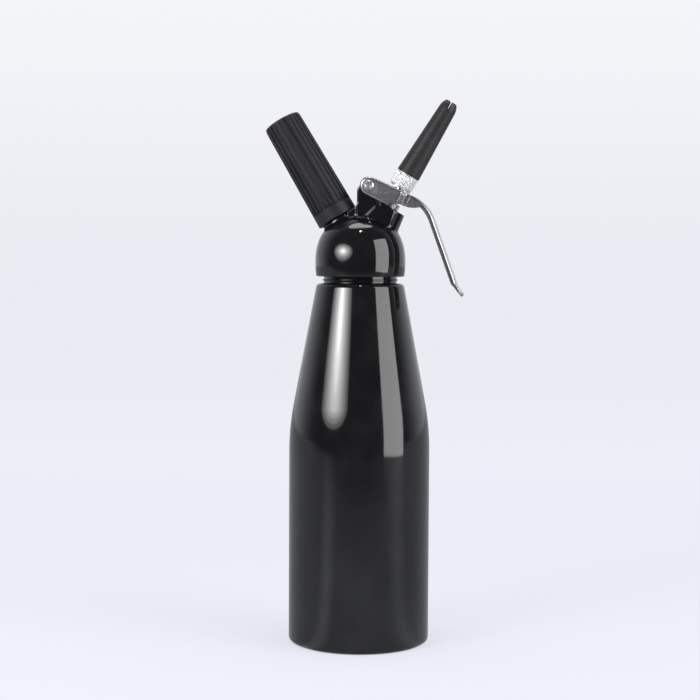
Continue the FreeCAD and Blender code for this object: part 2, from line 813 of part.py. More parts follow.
def make_valve():
    """The sprung valve on its leaning axis, from the poppet inside the head up to the stem's end."""
    seal_bottom = size["seat_height"] - size["poppet_seal_thickness"]
    poppet_bottom = seal_bottom - size["poppet_thickness"]
    disc_low = size["disc_top"] - size["disc_thickness"]
    stem_top = size["spigot_top"] - size["stem_end_gap"]
    bore_low = size["seat_height"]
    stem = new_body("valve_stem")
    spin(
        stem,
        "stem_turned",
        "Revolution",
        [
            (ZERO, poppet_bottom),
            (size["stem_radius"], poppet_bottom),
            (size["stem_radius"], spring_high),
            (size["collar_radius"], spring_high),
            (size["collar_radius"], collar_high),
            (size["stem_radius"], collar_high),
            (size["stem_radius"], disc_low),
            (size["disc_radius"], disc_low),
            (size["disc_radius"], size["disc_top"]),
            (size["stem_radius"], size["disc_top"]),
            (size["stem_radius"], stem_top),
            (size["stem_bore_radius"], stem_top),
            (size["stem_bore_radius"], bore_low),
            (ZERO, bore_low),
        ],
    )
    ports = new_sketch(stem, "stem_port_outline")
    draw_circle(ports, ZERO, size["seat_height"] + size["stem_hole_height"], size["stem_hole_radius"])
    push(stem, "stem_ports", "Pocket", ports, size["stem_radius"] * THROUGH)
    poppet_ring = (size["stem_radius"], size["poppet_radius"])
    poppet = ring_piece("valve_poppet", *poppet_ring, poppet_bottom, seal_bottom)
    seal = ring_piece("poppet_seal", *poppet_ring, seal_bottom, size["seat_height"])
    o_ring_inner = size["stem_radius"] + size["stem_play"]
    o_ring_outer = size["stem_radius"] + size["o_ring_groove"]
    o_ring = ring_piece("valve_o_ring", o_ring_inner, o_ring_outer, guide_top, washer_low)
    washer = ring_piece("o_ring_washer", o_ring_inner, spring_chamber, washer_low, spring_low)
    gland = new_body("valve_gland")
    spin(
        gland,
        "gland_turned",
        "Revolution",
        [
            (stem_room, gland_low),
            (spring_chamber, gland_low),
            (spring_chamber, size["valve_boss_top"]),
            (size["gland_shoulder"], size["valve_boss_top"]),
            (size["gland_shoulder"], gland_high),
            (stem_room, gland_high),
        ],
    )
    soften(gland, "gland_edge", "Chamfer", [(size["gland_shoulder"], gland_high)], size["gland_chamfer"])
    spring = new_body("valve_spring")
    wire = new_sketch(spring, "spring_wire_outline")
    coil_radius = size["stem_radius"] + size["spring_play"] + size["spring_wire"] * 0.5
    wire_room = size["spring_wire"] * 0.5
    draw_circle(wire, coil_radius, spring_low + wire_room, wire_room)
    document.recompute()
    coil = spring.newObject("PartDesign::AdditiveHelix", "spring_coil")
    coil.Profile = wire
    coil.ReferenceAxis = (wire, ["V_Axis"])
    coil.Mode = "height-turns-angle"
    coil.setExpression("Height", (size["spring_length"] - size["spring_wire"]).formula)
    coil.setExpression("Turns", size["spring_turns"].formula)
    document.recompute()
    pieces = [stem, poppet, seal, o_ring, washer, gland, spring]
    for piece in pieces:
        on_valve_axis(piece)
    return pieces


def make_nozzle():
    """The adapter on the stem, the knurled collar that screws on it, its seal and the decorating tip."""
    flange_radius = size["knurl_radius"] - size["flange_inset"]
    thread_room = size["spigot_radius"] + size["tip_thread_play"]
    adapter = new_body("tip_adapter")
    spin(
        adapter,
        "adapter_turned",
        "Revolution",
        [
            (size["stem_radius"], size["flange_bottom"]),
            (flange_radius, size["flange_bottom"]),
            (flange_radius, spigot_low),
            (size["spigot_radius"], spigot_low),
            (size["spigot_radius"], size["spigot_top"]),
            (size["stem_radius"], size["spigot_top"]),
        ],
    )
    stub = size["tip_socket_radius"]
    seal = ring_piece("tip_seal", size["stem_radius"], stub - size["tip_thread_play"], seal_low, seal_high)
    collar = new_body("tip_collar")
    spin(
        collar,
        "collar_turned",
        "Revolution",
        [
            (thread_room, knurl_low),
            (size["knurl_radius"], knurl_low),
            (size["knurl_radius"], knurl_high),
            (stub, knurl_high),
            (stub, seal_low - size["tip_seal_gap"]),
            (thread_room, seal_low - size["tip_seal_gap"]),
        ],
    )
    neck_high = knurl_high + size["tip_length"] - size["tip_nose"]
    tip_high = knurl_high + size["tip_length"]
    stub_low = seal_high
    tip = new_body("decorating_tip")
    spin(
        tip,
        "tip_turned",
        "Revolution",
        [
            (size["tip_bore_radius"], stub_low),
            (stub, stub_low),
            (stub, knurl_high),
            (size["tip_base_radius"], knurl_high),
            (size["tip_neck_radius"], neck_high),
            (size["tip_mouth_radius"], tip_high, size["tip_nose_curve"], -1),
            (size["tip_mouth_radius"] - size["tip_wall"] * 0.5, tip_high),
            (size["tip_neck_radius"] - size["tip_wall"], neck_high),
        ],
    )
    slot = new_sketch(tip, "tip_slot_outline")
    slot_low = tip_high - size["tip_slot_length"]
    slot_high = tip_high + size["tip_slot_width"]
    draw_outline(
        slot,
        [
            (ZERO, slot_low),
            (size["tip_base_radius"], slot_low),
            (size["tip_base_radius"], slot_high),
            (ZERO, slot_high),
        ],
    )
    one_slot = push(tip, "tip_slot", "Pocket", slot, size["tip_slot_width"])
    repeat(tip, "tip_slots", one_slot, size["tip_slots"])
    pieces = [adapter, seal, collar, tip]
    for piece in pieces:
        on_valve_axis(piece)
    return pieces


def prism(name, corners, width, flat=False):
    """A Part prism of a closed outline, equal to both sides of the XZ plane, or of the XY plane when flat."""
    sketch = document.addObject("Sketcher::SketchObject", f"{name}_outline")
    if not flat:
        sketch.Placement = FreeCAD.Placement(FreeCAD.Vector(), FreeCAD.Rotation(FreeCAD.Vector(1, 0, 0), 90))
    draw_outline(sketch, corners)
    solid = document.addObject("Part::Extrusion", name)
    solid.Base = sketch
    solid.DirMode = "Normal"
    solid.Solid = True
    solid.Symmetric = True
    solid.setExpression("LengthFwd", width.formula)
    document.recompute()
    return solid


def combine(kind, name, first, second):
    """A Part boolean of two objects, which has to change the first one's volume."""
    result = document.addObject(f"Part::{kind}", name)
    result.Base = first
    result.Tool = second
    document.recompute()
    if abs(result.Shape.Volume - first.Shape.Volume) < LEAST_CHANGE:
        raise RuntimeError(f"{name} changed nothing")
    return result


def round_folds(blank, corners, radius):
    """Rounds the long outer edges of the folds: those that run between two of the outer line's corners."""
    places = [(x.value, y.value) for x, y in corners]
    chosen = []
    for k, edge in enumerate(blank.Shape.Edges, start=1):
        ends = set()
        for vertex in edge.Vertexes:
            gaps = [math.hypot(vertex.X - x, vertex.Z - y) for x, y in places]
            ends.add(gaps.index(min(gaps)) if min(gaps) < SAME_PLACE else None)
        if len(ends) == 2 and None not in ends:
            chosen.append((k, radius.value, radius.value))
    rounded = document.addObject("Part::Fillet", "lever_rounded")
    rounded.Base = blank
    rounded.Edges = chosen
    document.recompute()
    if rounded.Shape.isNull() or rounded.Shape.Volume > blank.Shape.Volume - LEAST_CHANGE:
        raise RuntimeError(f"rounding {len(chosen)} fold edges changed nothing")
    return rounded


def rod(name, radius, length, place, turn):
    """A Part cylinder centred on a place, with its axis turned from Z."""
    cylinder = document.addObject("Part::Cylinder", name)
    cylinder.setExpression("Radius", radius.formula)
    cylinder.setExpression("Height", length.formula)
    half = turn.multVec(FreeCAD.Vector(0, 0, length.value / 2))
    cylinder.Placement = FreeCAD.Placement(FreeCAD.Vector(*[p.value for p in place]) - half, turn)
    for axis, along, number in zip("xyz", half, place):
        shift = length * (along / length.value)
        cylinder.setExpression(f"Placement.Base.{axis}", (number - shift).formula)
    document.recompute()
    return cylinder


def make_lever():
    """A folded sheet lever: two cheeks on the pin, a web over the stem and a long arm that turns down.

    It is drawn about the pin with its web level, so that its own X runs along the web, and is then
    turned by the web's slope. Beyond the bend the arm runs down at arm_slope less web_slope.
    """
    thickness = size["lever_sheet_thickness"]
    eye = size["web_over_pin_height"]
    drop = size["arm_slope"] - size["web_slope"]
    reach = size["arm_bend_radius"] * (drop / 2).tan()
    before = size["web_corner_length"] - reach
    run = size["arm_length"] - reach
    flare = drop - size["tip_flare"]

    def line(inset):
        """The arm's outer line moved in by inset: bend start, bend end with its radius, and flare."""
        radius = size["arm_bend_radius"] - inset
        level = eye - inset
        after_x = before + radius * drop.sin()
        after_y = level - radius + radius * drop.cos()
        flare_start = (after_x + run * drop.cos(), after_y - run * drop.sin())
        return (before, level), (after_x, after_y), radius, flare_start

    top_start, top_end, top_radius, top_flare = line(ZERO)
    web_start, web_end, web_radius, web_flare = line(thickness)
    rim_start, rim_end, rim_radius, rim_flare = line(size["arm_flange_height"])
    end_x = top_flare[0] + size["flare_length"] * flare.cos()
    end_y = top_flare[1] - size["flare_length"] * flare.sin()
    rim_back = size["arm_flange_height"]
    rim_angle = size["cheek_rim_angle"]
    rim_x = before + rim_radius * rim_angle.sin()
    rim_y = rim_start[1] - rim_radius + rim_radius * rim_angle.cos()
    low = -eye - size["cheek_drop_height"]
    side = prism(
        "lever_side",
        [
            top_start,
            (*top_end, top_radius, 1),
            top_flare,
            (end_x, end_y),
            (end_x - thickness * flare.sin(), end_y - thickness * flare.cos()),
            web_flare,
            (rim_flare[0] - rim_back * drop.cos(), rim_flare[1] + rim_back * drop.sin()),
            rim_end,
            (rim_x, rim_y, rim_radius, -1),
            (size["cheek_step_length"], size["cheek_step_height"], size["cheek_hollow_radius"], 1),
            (size["cheek_end_length"], low, size["cheek_end_radius"], -1),
            (ZERO, -eye),
            (-eye, ZERO, eye, 1),
            (ZERO, eye, eye, 1),
        ],
        lever_outer * 2,
    )
    tip_width = size["arm_half_width"]
    cheek_end = size["cheek_length"] + size["cheek_taper_length"]
    nose_start = end_x - size["tip_corner_radius"]
    plan = prism(
        "lever_plan",
        [
            (-eye * 2, lever_outer),
            (size["cheek_length"], lever_outer),
            (cheek_end, tip_width),
            (nose_start, tip_width),
            (end_x, tip_width - size["tip_corner_radius"], size["tip_corner_radius"], 1),
            (end_x, size["tip_corner_radius"] - tip_width),
            (nose_start, -tip_width, size["tip_corner_radius"], 1),
            (cheek_end, -tip_width),
            (size["cheek_length"], -lever_outer),
            (-eye * 2, -lever_outer),
        ],
        size["arm_length"] * THROUGH,
        flat=True,
    )
    blank = combine("Common", "lever_blank", side, plan)
    web_line = [(ZERO, eye), (size["cheek_length"], eye), (cheek_end, eye)]
    shell = round_folds(blank, web_line + [top_start, top_end, top_flare], size["fold_radius"])
    hollow_side = prism(
        "lever_hollow_side",
        [
            (size["web_start_length"], eye * 2),
            (size["web_start_length"], eye - thickness),
            web_start,
            (*web_end, web_radius, 1),
            web_flare,
            (-eye * 2, web_flare[1]),
            (-eye * 2, eye * 2),
        ],
        lever_outer * THROUGH,
    )
    inner_half = size["arm_half_width"] - thickness
    hollow_plan = prism(
        "lever_hollow_plan",
        [
            (-eye * THROUGH, lever_inner),
            (size["cheek_length"], lever_inner),
            (cheek_end, inner_half),
            (end_x, inner_half),
            (end_x, -inner_half),
            (cheek_end, -inner_half),
            (size["cheek_length"], -lever_inner),
            (-eye * THROUGH, -lever_inner),
        ],
        size["arm_length"] * THROUGH,
        flat=True,
    )
    hollow = combine("Common", "lever_hollow", hollow_side, hollow_plan)
    folded = combine("Cut", "lever_folded", shell, hollow)
    along_y = FreeCAD.Rotation(FreeCAD.Vector(1, 0, 0), 90)
    hole_radius = size["pin_radius"] + size["pin_play"]
    pin_hole = rod("lever_pin_hole", hole_radius, lever_outer * THROUGH, (ZERO, ZERO, ZERO), along_y)
    drilled = combine("Cut", "lever_drilled", folded, pin_hole)
    gate = size["disc_top"] + thickness * 0.5
    gate_x = gate * size["valve_tilt"].sin() - pin_reach
    gate_z = valve_base + gate * size["valve_tilt"].cos() - pin_height
    hole_x = gate_x * size["web_slope"].cos() - gate_z * size["web_slope"].sin()
    hole_place = (hole_x, ZERO, eye)
    upright = FreeCAD.Rotation()
    web_hole = rod("lever_web_hole", size["web_hole_radius"], thickness * THROUGH, hole_place, upright)
    lever = combine("Cut", "lever", drilled, web_hole)
    lever.Label = "lever"
    turn = FreeCAD.Rotation(FreeCAD.Vector(0, 1, 0), size["web_slope"].value)
    lever.Placement = FreeCAD.Placement(FreeCAD.Vector(pin_reach.value, 0, pin_height.value), turn)
    lever.setExpression("Placement.Base.x", pin_reach.formula)
    lever.setExpression("Placement.Base.z", pin_height.formula)
    lever.setExpression("Placement.Rotation.Angle", size["web_slope"].formula)
    return lever


def make_pin():
    """The headed pin through cheeks and ear, and the open ring that keeps it in."""
    span = (lever_outer + size["pin_side_gap"]) * 2
    groove = size["pin_radius"] - size["ring_groove_depth"]
    face = size["pin_head_radius"] - size["pin_head_chamfer"]
    pin = new_body("lever_pin")
    spin(
        pin,
        "pin_turned",
        "Revolution",
        [
            (ZERO, -size["pin_head_thickness"]),
            (face, -size["pin_head_thickness"]),
            (size["pin_head_radius"], size["pin_head_chamfer"] - size["pin_head_thickness"]),
            (size["pin_head_radius"], ZERO),
            (size["pin_radius"], ZERO),
            (size["pin_radius"], span),
            (groove, span),
            (groove, span + size["ring_thickness"]),
            (size["pin_radius"], span + size["ring_thickness"]),
            (size["pin_radius"], span + size["pin_tail"]),
            (ZERO, span + size["pin_tail"]),
        ],
    )
    ring = ring_piece("pin_retaining_ring", groove, size["ring_radius"], span, span + size["ring_thickness"])
    gap = new_sketch(ring, "ring_gap_outline")
    gap_low = span - size["ring_thickness"]
    gap_high = span + size["ring_thickness"] * 2
    gap_far = size["ring_radius"] * 2
    draw_outline(gap, [(ZERO, gap_low), (gap_far, gap_low), (gap_far, gap_high), (ZERO, gap_high)])
    push(ring, "ring_gap", "Pocket", gap, size["ring_opening"])
    for piece in (pin, ring):
        turn = FreeCAD.Rotation(FreeCAD.Vector(1, 0, 0), -90)
        piece.Placement = FreeCAD.Placement(FreeCAD.Vector(0, 0, 0), turn)
        piece.setExpression("Placement.Base.x", pin_reach.formula)
        piece.setExpression("Placement.Base.y", (-(lever_outer + size["pin_side_gap"])).formula)
        piece.setExpression("Placement.Base.z", pin_height.formula)
    return [pin, ring]


def check_and_write(pieces):
    """Stops on any failed object, then writes one STEP file for each piece."""
    for item in document.Objects:
        if "Invalid" in item.State or "Error" in item.State:
            raise RuntimeError(f"{item.Name} failed: {item.State}")
    os.makedirs("parts", exist_ok=True)
    for piece in pieces:
        shape = piece.Shape
        if shape.isNull() or not shape.isValid():
            raise RuntimeError(f"{piece.Label} has no valid shape")
        print(f"{piece.Label}: {len(shape.Solids)} solid, {shape.Volume:.1f} mm3")
        shape.exportStep(f"parts/{piece.Label}.step")


bottle = make_bottle()
head = make_head()
gasket = make_gasket()
charger_parts = make_charger_parts()
holder_parts = make_holder()
valve_parts = make_valve()
nozzle_parts = make_nozzle()
lever_parts = [make_lever()] + make_pin()
pieces = [bottle, head, gasket] + charger_parts + holder_parts + valve_parts + nozzle_parts + lever_parts
document.recompute()
check_and_write(pieces)
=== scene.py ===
"""Looks of a whipped cream dispenser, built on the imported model.

Lengths of the dispenser are millimetres, as on a maker's drawing. A Placement turns them into metres in
the model's own frame: +Z up, +X the lever's side, -X the charger's side. The studio's are metres.
"""

import logging
import math
from dataclasses import dataclass, field
from enum import Enum
from functools import reduce
from typing import Any, ClassVar, Optional, Sequence, Union

import bmesh
import bpy
from mathutils import Matrix, Vector


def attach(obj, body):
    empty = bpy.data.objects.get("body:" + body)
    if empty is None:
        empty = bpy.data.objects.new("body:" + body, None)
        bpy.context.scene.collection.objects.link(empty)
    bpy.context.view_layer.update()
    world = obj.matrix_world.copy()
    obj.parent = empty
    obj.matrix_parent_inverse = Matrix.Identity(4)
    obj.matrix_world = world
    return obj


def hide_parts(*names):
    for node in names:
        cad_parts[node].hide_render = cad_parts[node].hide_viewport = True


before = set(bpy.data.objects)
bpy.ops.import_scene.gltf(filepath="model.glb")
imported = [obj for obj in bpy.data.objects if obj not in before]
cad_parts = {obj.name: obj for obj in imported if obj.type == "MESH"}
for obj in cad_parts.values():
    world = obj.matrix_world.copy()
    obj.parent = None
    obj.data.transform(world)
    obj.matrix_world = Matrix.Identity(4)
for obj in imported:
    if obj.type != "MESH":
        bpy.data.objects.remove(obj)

log = logging.getLogger("dispenser")
MM = 0.001
TAU = 2.0 * math.pi
Value = Union["Wire", int, float]
Corner = tuple[float, float, float]
Colour = tuple[float, float, float]
COOL_WHITE: Colour = (0.93, 0.95, 1.0)
GREY_STEEL: Colour = (0.6, 0.6, 0.62)
RUBBER_BLACK: Colour = (0.018, 0.018, 0.018)


# Node trees written as expressions


class Wire:
    """A socket that values flow out of. Python's operators on it add Math nodes."""

    def __init__(self, sheet: "Sheet", socket: bpy.types.NodeSocket) -> None:
        """Holds the socket and the sheet that new nodes go on."""
        self.sheet = sheet
        self.socket = socket

    def math(self, operation: str, *others: Value) -> "Wire":
        """Adds one Math node.

        Args:
            operation: the node's operation, such as MULTIPLY.
            others: the second and third values.

        Returns:
            The node's result.
        """
        return self.sheet.node("ShaderNodeMath", [self, *others], operation=operation)

    def __add__(self, other: Value) -> "Wire":
        """Sum."""
        return self.math("ADD", other)

    __radd__ = __add__

    def __sub__(self, other: Value) -> "Wire":
        """Difference."""
        return self.math("SUBTRACT", other)

    def __rsub__(self, other: Value) -> "Wire":
        """Difference with a number on the left."""
        return self.sheet.node("ShaderNodeMath", [other, self], operation="SUBTRACT")

    def __mul__(self, other: Value) -> "Wire":
        """Product."""
        return self.math("MULTIPLY", other)

    def __truediv__(self, other: Value) -> "Wire":
        """Quotient."""
        return self.math("DIVIDE", other)

    def __neg__(self) -> "Wire":
        """The value with its sign turned."""
        return self.math("MULTIPLY", -1.0)

    def power(self, other: Value) -> "Wire":
        """The value raised to a power."""
        return self.math("POWER", other)

    def least(self, other: Value) -> "Wire":
        """The smaller of two values."""
        return self.math("MINIMUM", other)

    def most(self, other: Value) -> "Wire":
        """The larger of two values."""
        return self.math("MAXIMUM", other)

    def blend_least(self, other: Value, width: float) -> "Wire":
        """The smaller of two values, with the crossing rounded over a width."""
        return self.math("SMOOTH_MIN", other, width)

    def blend_most(self, other: Value, width: float) -> "Wire":
        """The larger of two values, with the crossing rounded over a width."""
        return self.math("SMOOTH_MAX", other, width)

    def root(self) -> "Wire":
        """Square root."""
        return self.math("SQRT")

    def size(self) -> "Wire":
        """The value without its sign."""
        return self.math("ABSOLUTE")

    def step(self, low: float, high: float) -> "Wire":
        """A soft step from 0 at low to 1 at high."""
        fed = {"Value": self, "From Min": low, "From Max": high}
        return self.sheet.node("ShaderNodeMapRange", fed, interpolation_type="SMOOTHSTEP")


class Sheet:
    """A node tree and the one method that adds nodes to it."""

    def __init__(self, tree: bpy.types.NodeTree) -> None:
        """Keeps the tree."""
        self.tree = tree

    def node(
        self,
        kind: str,
        values: Union[Sequence[Any], dict[Any, Any], None] = None,
        out: Union[int, str] = 0,
        **settings: Any,
    ) -> Wire:
        """Adds any node, sets it up, and feeds its sockets.

        Args:
            kind: the node's type.
            values: links or constants, by order or by the socket's name or number.
            out: which output to return.
            settings: its properties, set first.

        Returns:
            The chosen output.
        """
        made = self.tree.nodes.new(kind)
        for word, setting in settings.items():
            setattr(made, word, setting)
        pairs = values.items() if isinstance(values, dict) else enumerate(values or [])
        for word, value in pairs:
            if isinstance(value, Wire):
                self.feed(value, made.inputs[word])
            else:
                made.inputs[word].default_value = value
        return Wire(self, made.outputs[out])

    def feed(self, wire: Wire, socket: bpy.types.NodeSocket) -> None:
        """Links a wire to a socket."""
        self.tree.links.new(wire.socket, socket)

    def place(self, kind: str = "Object") -> Wire:
        """The coordinates that a pattern reads."""
        return self.node("ShaderNodeTexCoord", out=kind)

    def ray(self, kind: str) -> Wire:
        """1 for rays of a kind, such as Is Camera Ray."""
        return self.node("ShaderNodeLightPath", out=kind)

    def parts(self, vector: Wire) -> list[Wire]:
        """The three components of a vector."""
        first = self.node("ShaderNodeSeparateXYZ", [vector])
        return [Wire(self, output) for output in first.socket.node.outputs]

    def join(self, x: Value, y: Value, z: Value) -> Wire:
        """A vector from three components."""
        return self.node("ShaderNodeCombineXYZ", [x, y, z])

    def vector(self, operation: str, *values: Any, out: int = 0) -> Wire:
        """One Vector Math node."""
        return self.node("ShaderNodeVectorMath", values, out, operation=operation)

    def mix(self, amount: Wire, first: Any, second: Any) -> Wire:
        """A colour between two others, each a wire or three numbers."""
        first_socket, second_socket, result = 6, 7, 2
        fed = {0: amount}
        for socket, colour in ((first_socket, first), (second_socket, second)):
            fed[socket] = colour if isinstance(colour, Wire) else (*colour, 1.0)
        return self.node("ShaderNodeMix", fed, result, data_type="RGBA")

    def shade(self, amount: Wire, colour: Colour, gain: float, lift: float = 0.0) -> Wire:
        """A colour that turns lighter or darker with a pattern.

        Args:
            amount: the pattern, from 0 to 1.
            colour: the colour where the pattern is 0.
            gain: what the colour is multiplied by where the pattern is 1.
            lift: what is then added.

        Returns:
            The colour's wire.
        """
        return self.mix(amount, colour, [min(1.0, part * gain + lift) for part in colour])

    def noise(self, where: Wire, scale: float, detail: float = 2.0, roughness: float = 0.5) -> Wire:
        """A noise value around one half."""
        fed = {"Vector": where, "Scale": scale, "Detail": detail, "Roughness": roughness}
        return self.node("ShaderNodeTexNoise", fed)


# Where pieces stand


@dataclass(frozen=True)
class Placement:
    """An axis that turned pieces are drawn about, leaning in the XZ plane.

    Attributes:
        base: height of the axis's foot above the floor.
        tilt: lean in degrees, positive towards +X.
        side: distance along +X.
        across: turns the axis to lie along +Y instead.
    """

    base: float = 0.0
    tilt: float = 0.0
    side: float = 0.0
    across: bool = False

    def lean(self) -> tuple[float, str]:
        """The axis's turn in radians, and the frame's axis that the turn is about."""
        return (math.radians(-90.0), "X") if self.across else (math.radians(self.tilt), "Y")

    def matrix(self) -> Matrix:
        """From millimetres about the axis to metres in the model's frame."""
        moved = Matrix.Scale(MM, 4) @ Matrix.Translation((self.side, 0.0, self.base))
        angle, about = self.lean()
        return moved @ Matrix.Rotation(angle, 4, about)

    def local(self, sheet: Sheet) -> Wire:
        """Object coordinates in millimetres about this axis, for a pattern."""
        angle, about = self.lean()
        fed = {
            "Vector": sheet.place(),
            "Location": (self.side * MM, 0.0, self.base * MM),
            "Rotation": (angle, 0.0, 0.0) if about == "X" else (0.0, angle, 0.0),
            "Scale": (MM, MM, MM),
        }
        return sheet.node("ShaderNodeMapping", fed, vector_type="TEXTURE")


UPRIGHT = Placement()
VALVE_AXIS = Placement(base=234.7, tilt=30.94)
CHARGER_AXIS = Placement(base=233.0, tilt=-30.67)
PIN_AXIS = Placement(base=275.3014, side=6.1966, across=True)


# Finishes


def new_material(name: str) -> tuple[bpy.types.Material, Sheet, bpy.types.Node]:
    """A material with only its output.

    Args:
        name: the material's name.

    Returns:
        The material, a sheet on its tree, and its output.
    """
    material = bpy.data.materials.new(name)
    material.use_nodes = True
    tree = material.node_tree
    tree.nodes.clear()
    return material, Sheet(tree), tree.nodes.new("ShaderNodeOutputMaterial")


@dataclass(frozen=True)
class Finish:
    """A material. Each kind of finish gives its own patterns.

    Attributes:
        name: the material's name.
        sockets: values that are the same all over the surface.
    """

    name: str
    sockets: ClassVar[dict[str, float]] = {}

    def patterns(self, sheet: Sheet) -> tuple[Wire, Wire, Wire, float]:
        """The finish's colour, roughness and bump, and the bump's depth in millimetres."""
        raise NotImplementedError

    def make(self) -> bpy.types.Material:
        """Builds the material."""
        material, sheet, output = new_material(self.name)
        colour, roughness, height, depth = self.patterns(sheet)
        bump = sheet.node("ShaderNodeBump", {"Height": height, "Distance": depth * MM, "Strength": 1.0})
        fed = {"Base Color": colour, "Roughness": roughness, "Normal": bump, **self.sockets}
        sheet.feed(sheet.node("ShaderNodeBsdfPrincipled", fed), output.inputs[0])
        return material


@dataclass(frozen=True)
class GlossEnamel(Finish):
    """Baked gloss enamel over aluminium, with a faint orange peel and a softer patch here and there.

    Attributes:
        colour: the enamel's colour.
        foot_band_colour: the lighter colour of the patchy band at the foot.
        gloss: roughness where it is cleanest.
        peel: depth of the orange peel in millimetres.
        foot_band_height: height of the lighter, rougher patchy band at the foot, or None.
    """

    colour: Colour = (0.0045, 0.0045, 0.0052)
    # Lighter colour of the patchy band at the foot.
    foot_band_colour: Colour = (0.16, 0.16, 0.17)
    gloss: float = 0.07
    peel: float = 0.0011
    foot_band_height: Optional[float] = None
    sockets: ClassVar[dict[str, float]] = {"IOR": 1.56}

    def patterns(self, sheet: Sheet) -> tuple[Wire, Wire, Wire, float]:
        """Clouds, specks, orange peel, and a lighter, rougher patchy band at the foot."""
        where = sheet.place()
        cloud = sheet.noise(where, scale=38.0, detail=3.0)
        specks = sheet.noise(where, scale=900.0, detail=1.0).step(0.71, 0.76)
        colour = sheet.shade(cloud.step(0.35, 0.75), self.colour, gain=1.9, lift=0.0015)
        roughness = self.gloss + cloud.step(0.45, 0.8) * 0.035 + specks * 0.06
        # A lighter, rougher patchy band at the very foot of the bottle.
        if self.foot_band_height is not None:
            height = sheet.parts(where)[2] / MM
            foot_patches = sheet.noise(where, scale=160.0, detail=4.0).step(0.42, 0.6)
            foot_band = (1.0 - height.step(0.05, self.foot_band_height)) * foot_patches
            colour = sheet.mix(foot_band, colour, self.foot_band_colour)
            roughness = roughness + foot_band * 0.2
        return colour, roughness, sheet.noise(where, scale=420.0, detail=1.5), self.peel


@dataclass(frozen=True)
class Moulding(Finish):
    """Satin moulded plastic with a fine spark-eroded grain.

    Attributes:
        colour: the plastic's colour.
        satin: roughness.
        grain: depth of the grain in millimetres.
    """

    colour: Colour = (0.0078, 0.0078, 0.0092)
    satin: float = 0.47
    grain: float = 0.0015
    sockets: ClassVar[dict[str, float]] = {"IOR": 1.4}

    def patterns(self, sheet: Sheet) -> tuple[Wire, Wire, Wire, float]:
        """Clouds, scuffs and grain."""
        where = sheet.place()
        cloud = sheet.noise(where, scale=60.0, detail=4.0)
        grain = sheet.noise(where, scale=2600.0, detail=2.0, roughness=0.65)
        scuffs = sheet.noise(where, scale=240.0, detail=6.0, roughness=0.7).step(0.58, 0.72)
        colour = sheet.shade(cloud.step(0.3, 0.7), self.colour, gain=1.5, lift=0.003)
        return colour, self.satin + (grain - 0.5) * 0.06 + scuffs * 0.05, grain, self.grain


@dataclass(frozen=True)
class TurnedMetal(Finish):
    """Metal from the lathe: fine rings about its axis, and a little dulling in patches.

    Attributes:
        colour: the metal's colour.
        axis: the axis that it was turned about.
        gloss: roughness in the cut's bright lines.
        cut: depth of the turning marks in millimetres.
        lines: turning marks in a millimetre, roughly.
    """

    colour: Colour
    axis: Placement = UPRIGHT
    gloss: float = 0.24
    cut: float = 0.0006
    lines: float = 2.6
    sockets: ClassVar[dict[str, float]] = {"Metallic": 1.0}

    def patterns(self, sheet: Sheet) -> tuple[Wire, Wire, Wire, float]:
        """Rings about the axis, and clouds."""
        local = self.axis.local(sheet)
        x, y, z = sheet.parts(local)
        out = (x * x + y * y).root()
        across = sheet.join(out * self.lines, z * self.lines, 0.0)
        rings = sheet.noise(across, scale=1.0, detail=3.0, roughness=0.6)
        cloud = sheet.noise(local, scale=0.35, detail=4.0)
        colour = sheet.shade(cloud.step(0.35, 0.7), self.colour, gain=0.74)
        return colour, self.gloss + rings * 0.14 + cloud.step(0.5, 0.8) * 0.07, rings, self.cut


@dataclass(frozen=True)
class PolishedSheet(Finish):
    """Stainless sheet, folded and polished along its length, with hairlines and faint handling marks.

    Attributes:
        colour: the steel's colour.
        gloss: roughness of the polish.
        hair: depth of the hairlines in millimetres.
        lay: slope of the hairlines in degrees.
        fineness: scale of the hairlines along and across them.
    """

    colour: Colour = (0.5, 0.5, 0.52)
    gloss: float = 0.22
    hair: float = 0.0005
    lay: float = -47.0
    fineness: tuple[float, float, float] = (60.0, 2600.0, 700.0)
    sockets: ClassVar[dict[str, float]] = {"Metallic": 1.0}

    def patterns(self, sheet: Sheet) -> tuple[Wire, Wire, Wire, float]:
        """Hairlines and handling marks."""
        where = sheet.place()
        fed = {"Vector": where, "Rotation": (0.0, math.radians(self.lay), 0.0), "Scale": self.fineness}
        along = sheet.node("ShaderNodeMapping", fed, vector_type="POINT")
        hairs = sheet.noise(along, scale=1.0, detail=3.0, roughness=0.6)
        marks = sheet.noise(where, scale=150.0, detail=5.0, roughness=0.6)
        colour = sheet.shade(marks.step(0.4, 0.7), self.colour, gain=0.8)
        return colour, self.gloss + hairs * 0.08 + marks.step(0.52, 0.7) * 0.08, hairs, self.hair


@dataclass(frozen=True)
class Elastomer(Finish):
    """Rubber or silicone: matt, faintly mottled, with a powdery bloom.

    Attributes:
        colour: its colour.
        dull: roughness.
        pores: depth of its pores in millimetres.
    """

    colour: Colour = RUBBER_BLACK
    dull: float = 0.62
    pores: float = 0.006

    def patterns(self, sheet: Sheet) -> tuple[Wire, Wire, Wire, float]:
        """Bloom and pores."""
        where = sheet.place()
        mottle = sheet.noise(where, scale=500.0, detail=4.0)
        colour = sheet.shade(mottle.step(0.4, 0.75), self.colour, gain=1.25, lift=0.01)
        return colour, self.dull + (mottle - 0.5) * 0.2, sheet.noise(where, scale=3000.0), self.pores


class Slot(Enum):
    """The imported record's finishes."""

    BLACK_GLOSS = "black_gloss"
    DARK_PLASTIC = "dark_plastic"
    BARE_ALUMINIUM = "bare_aluminium"
    POLISHED_STEEL = "polished_steel"
    STEEL = "steel"


class Body(Enum):
    """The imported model's moving bodies that new pieces ride on."""

    BOTTLE = "bottle"
    HEAD = "head"
    VALVE = "valve"
    NOZZLE = "nozzle"
    LEVER = "lever"
    HOLDER = "holder"
    CHARGER = "charger"


# Meshes


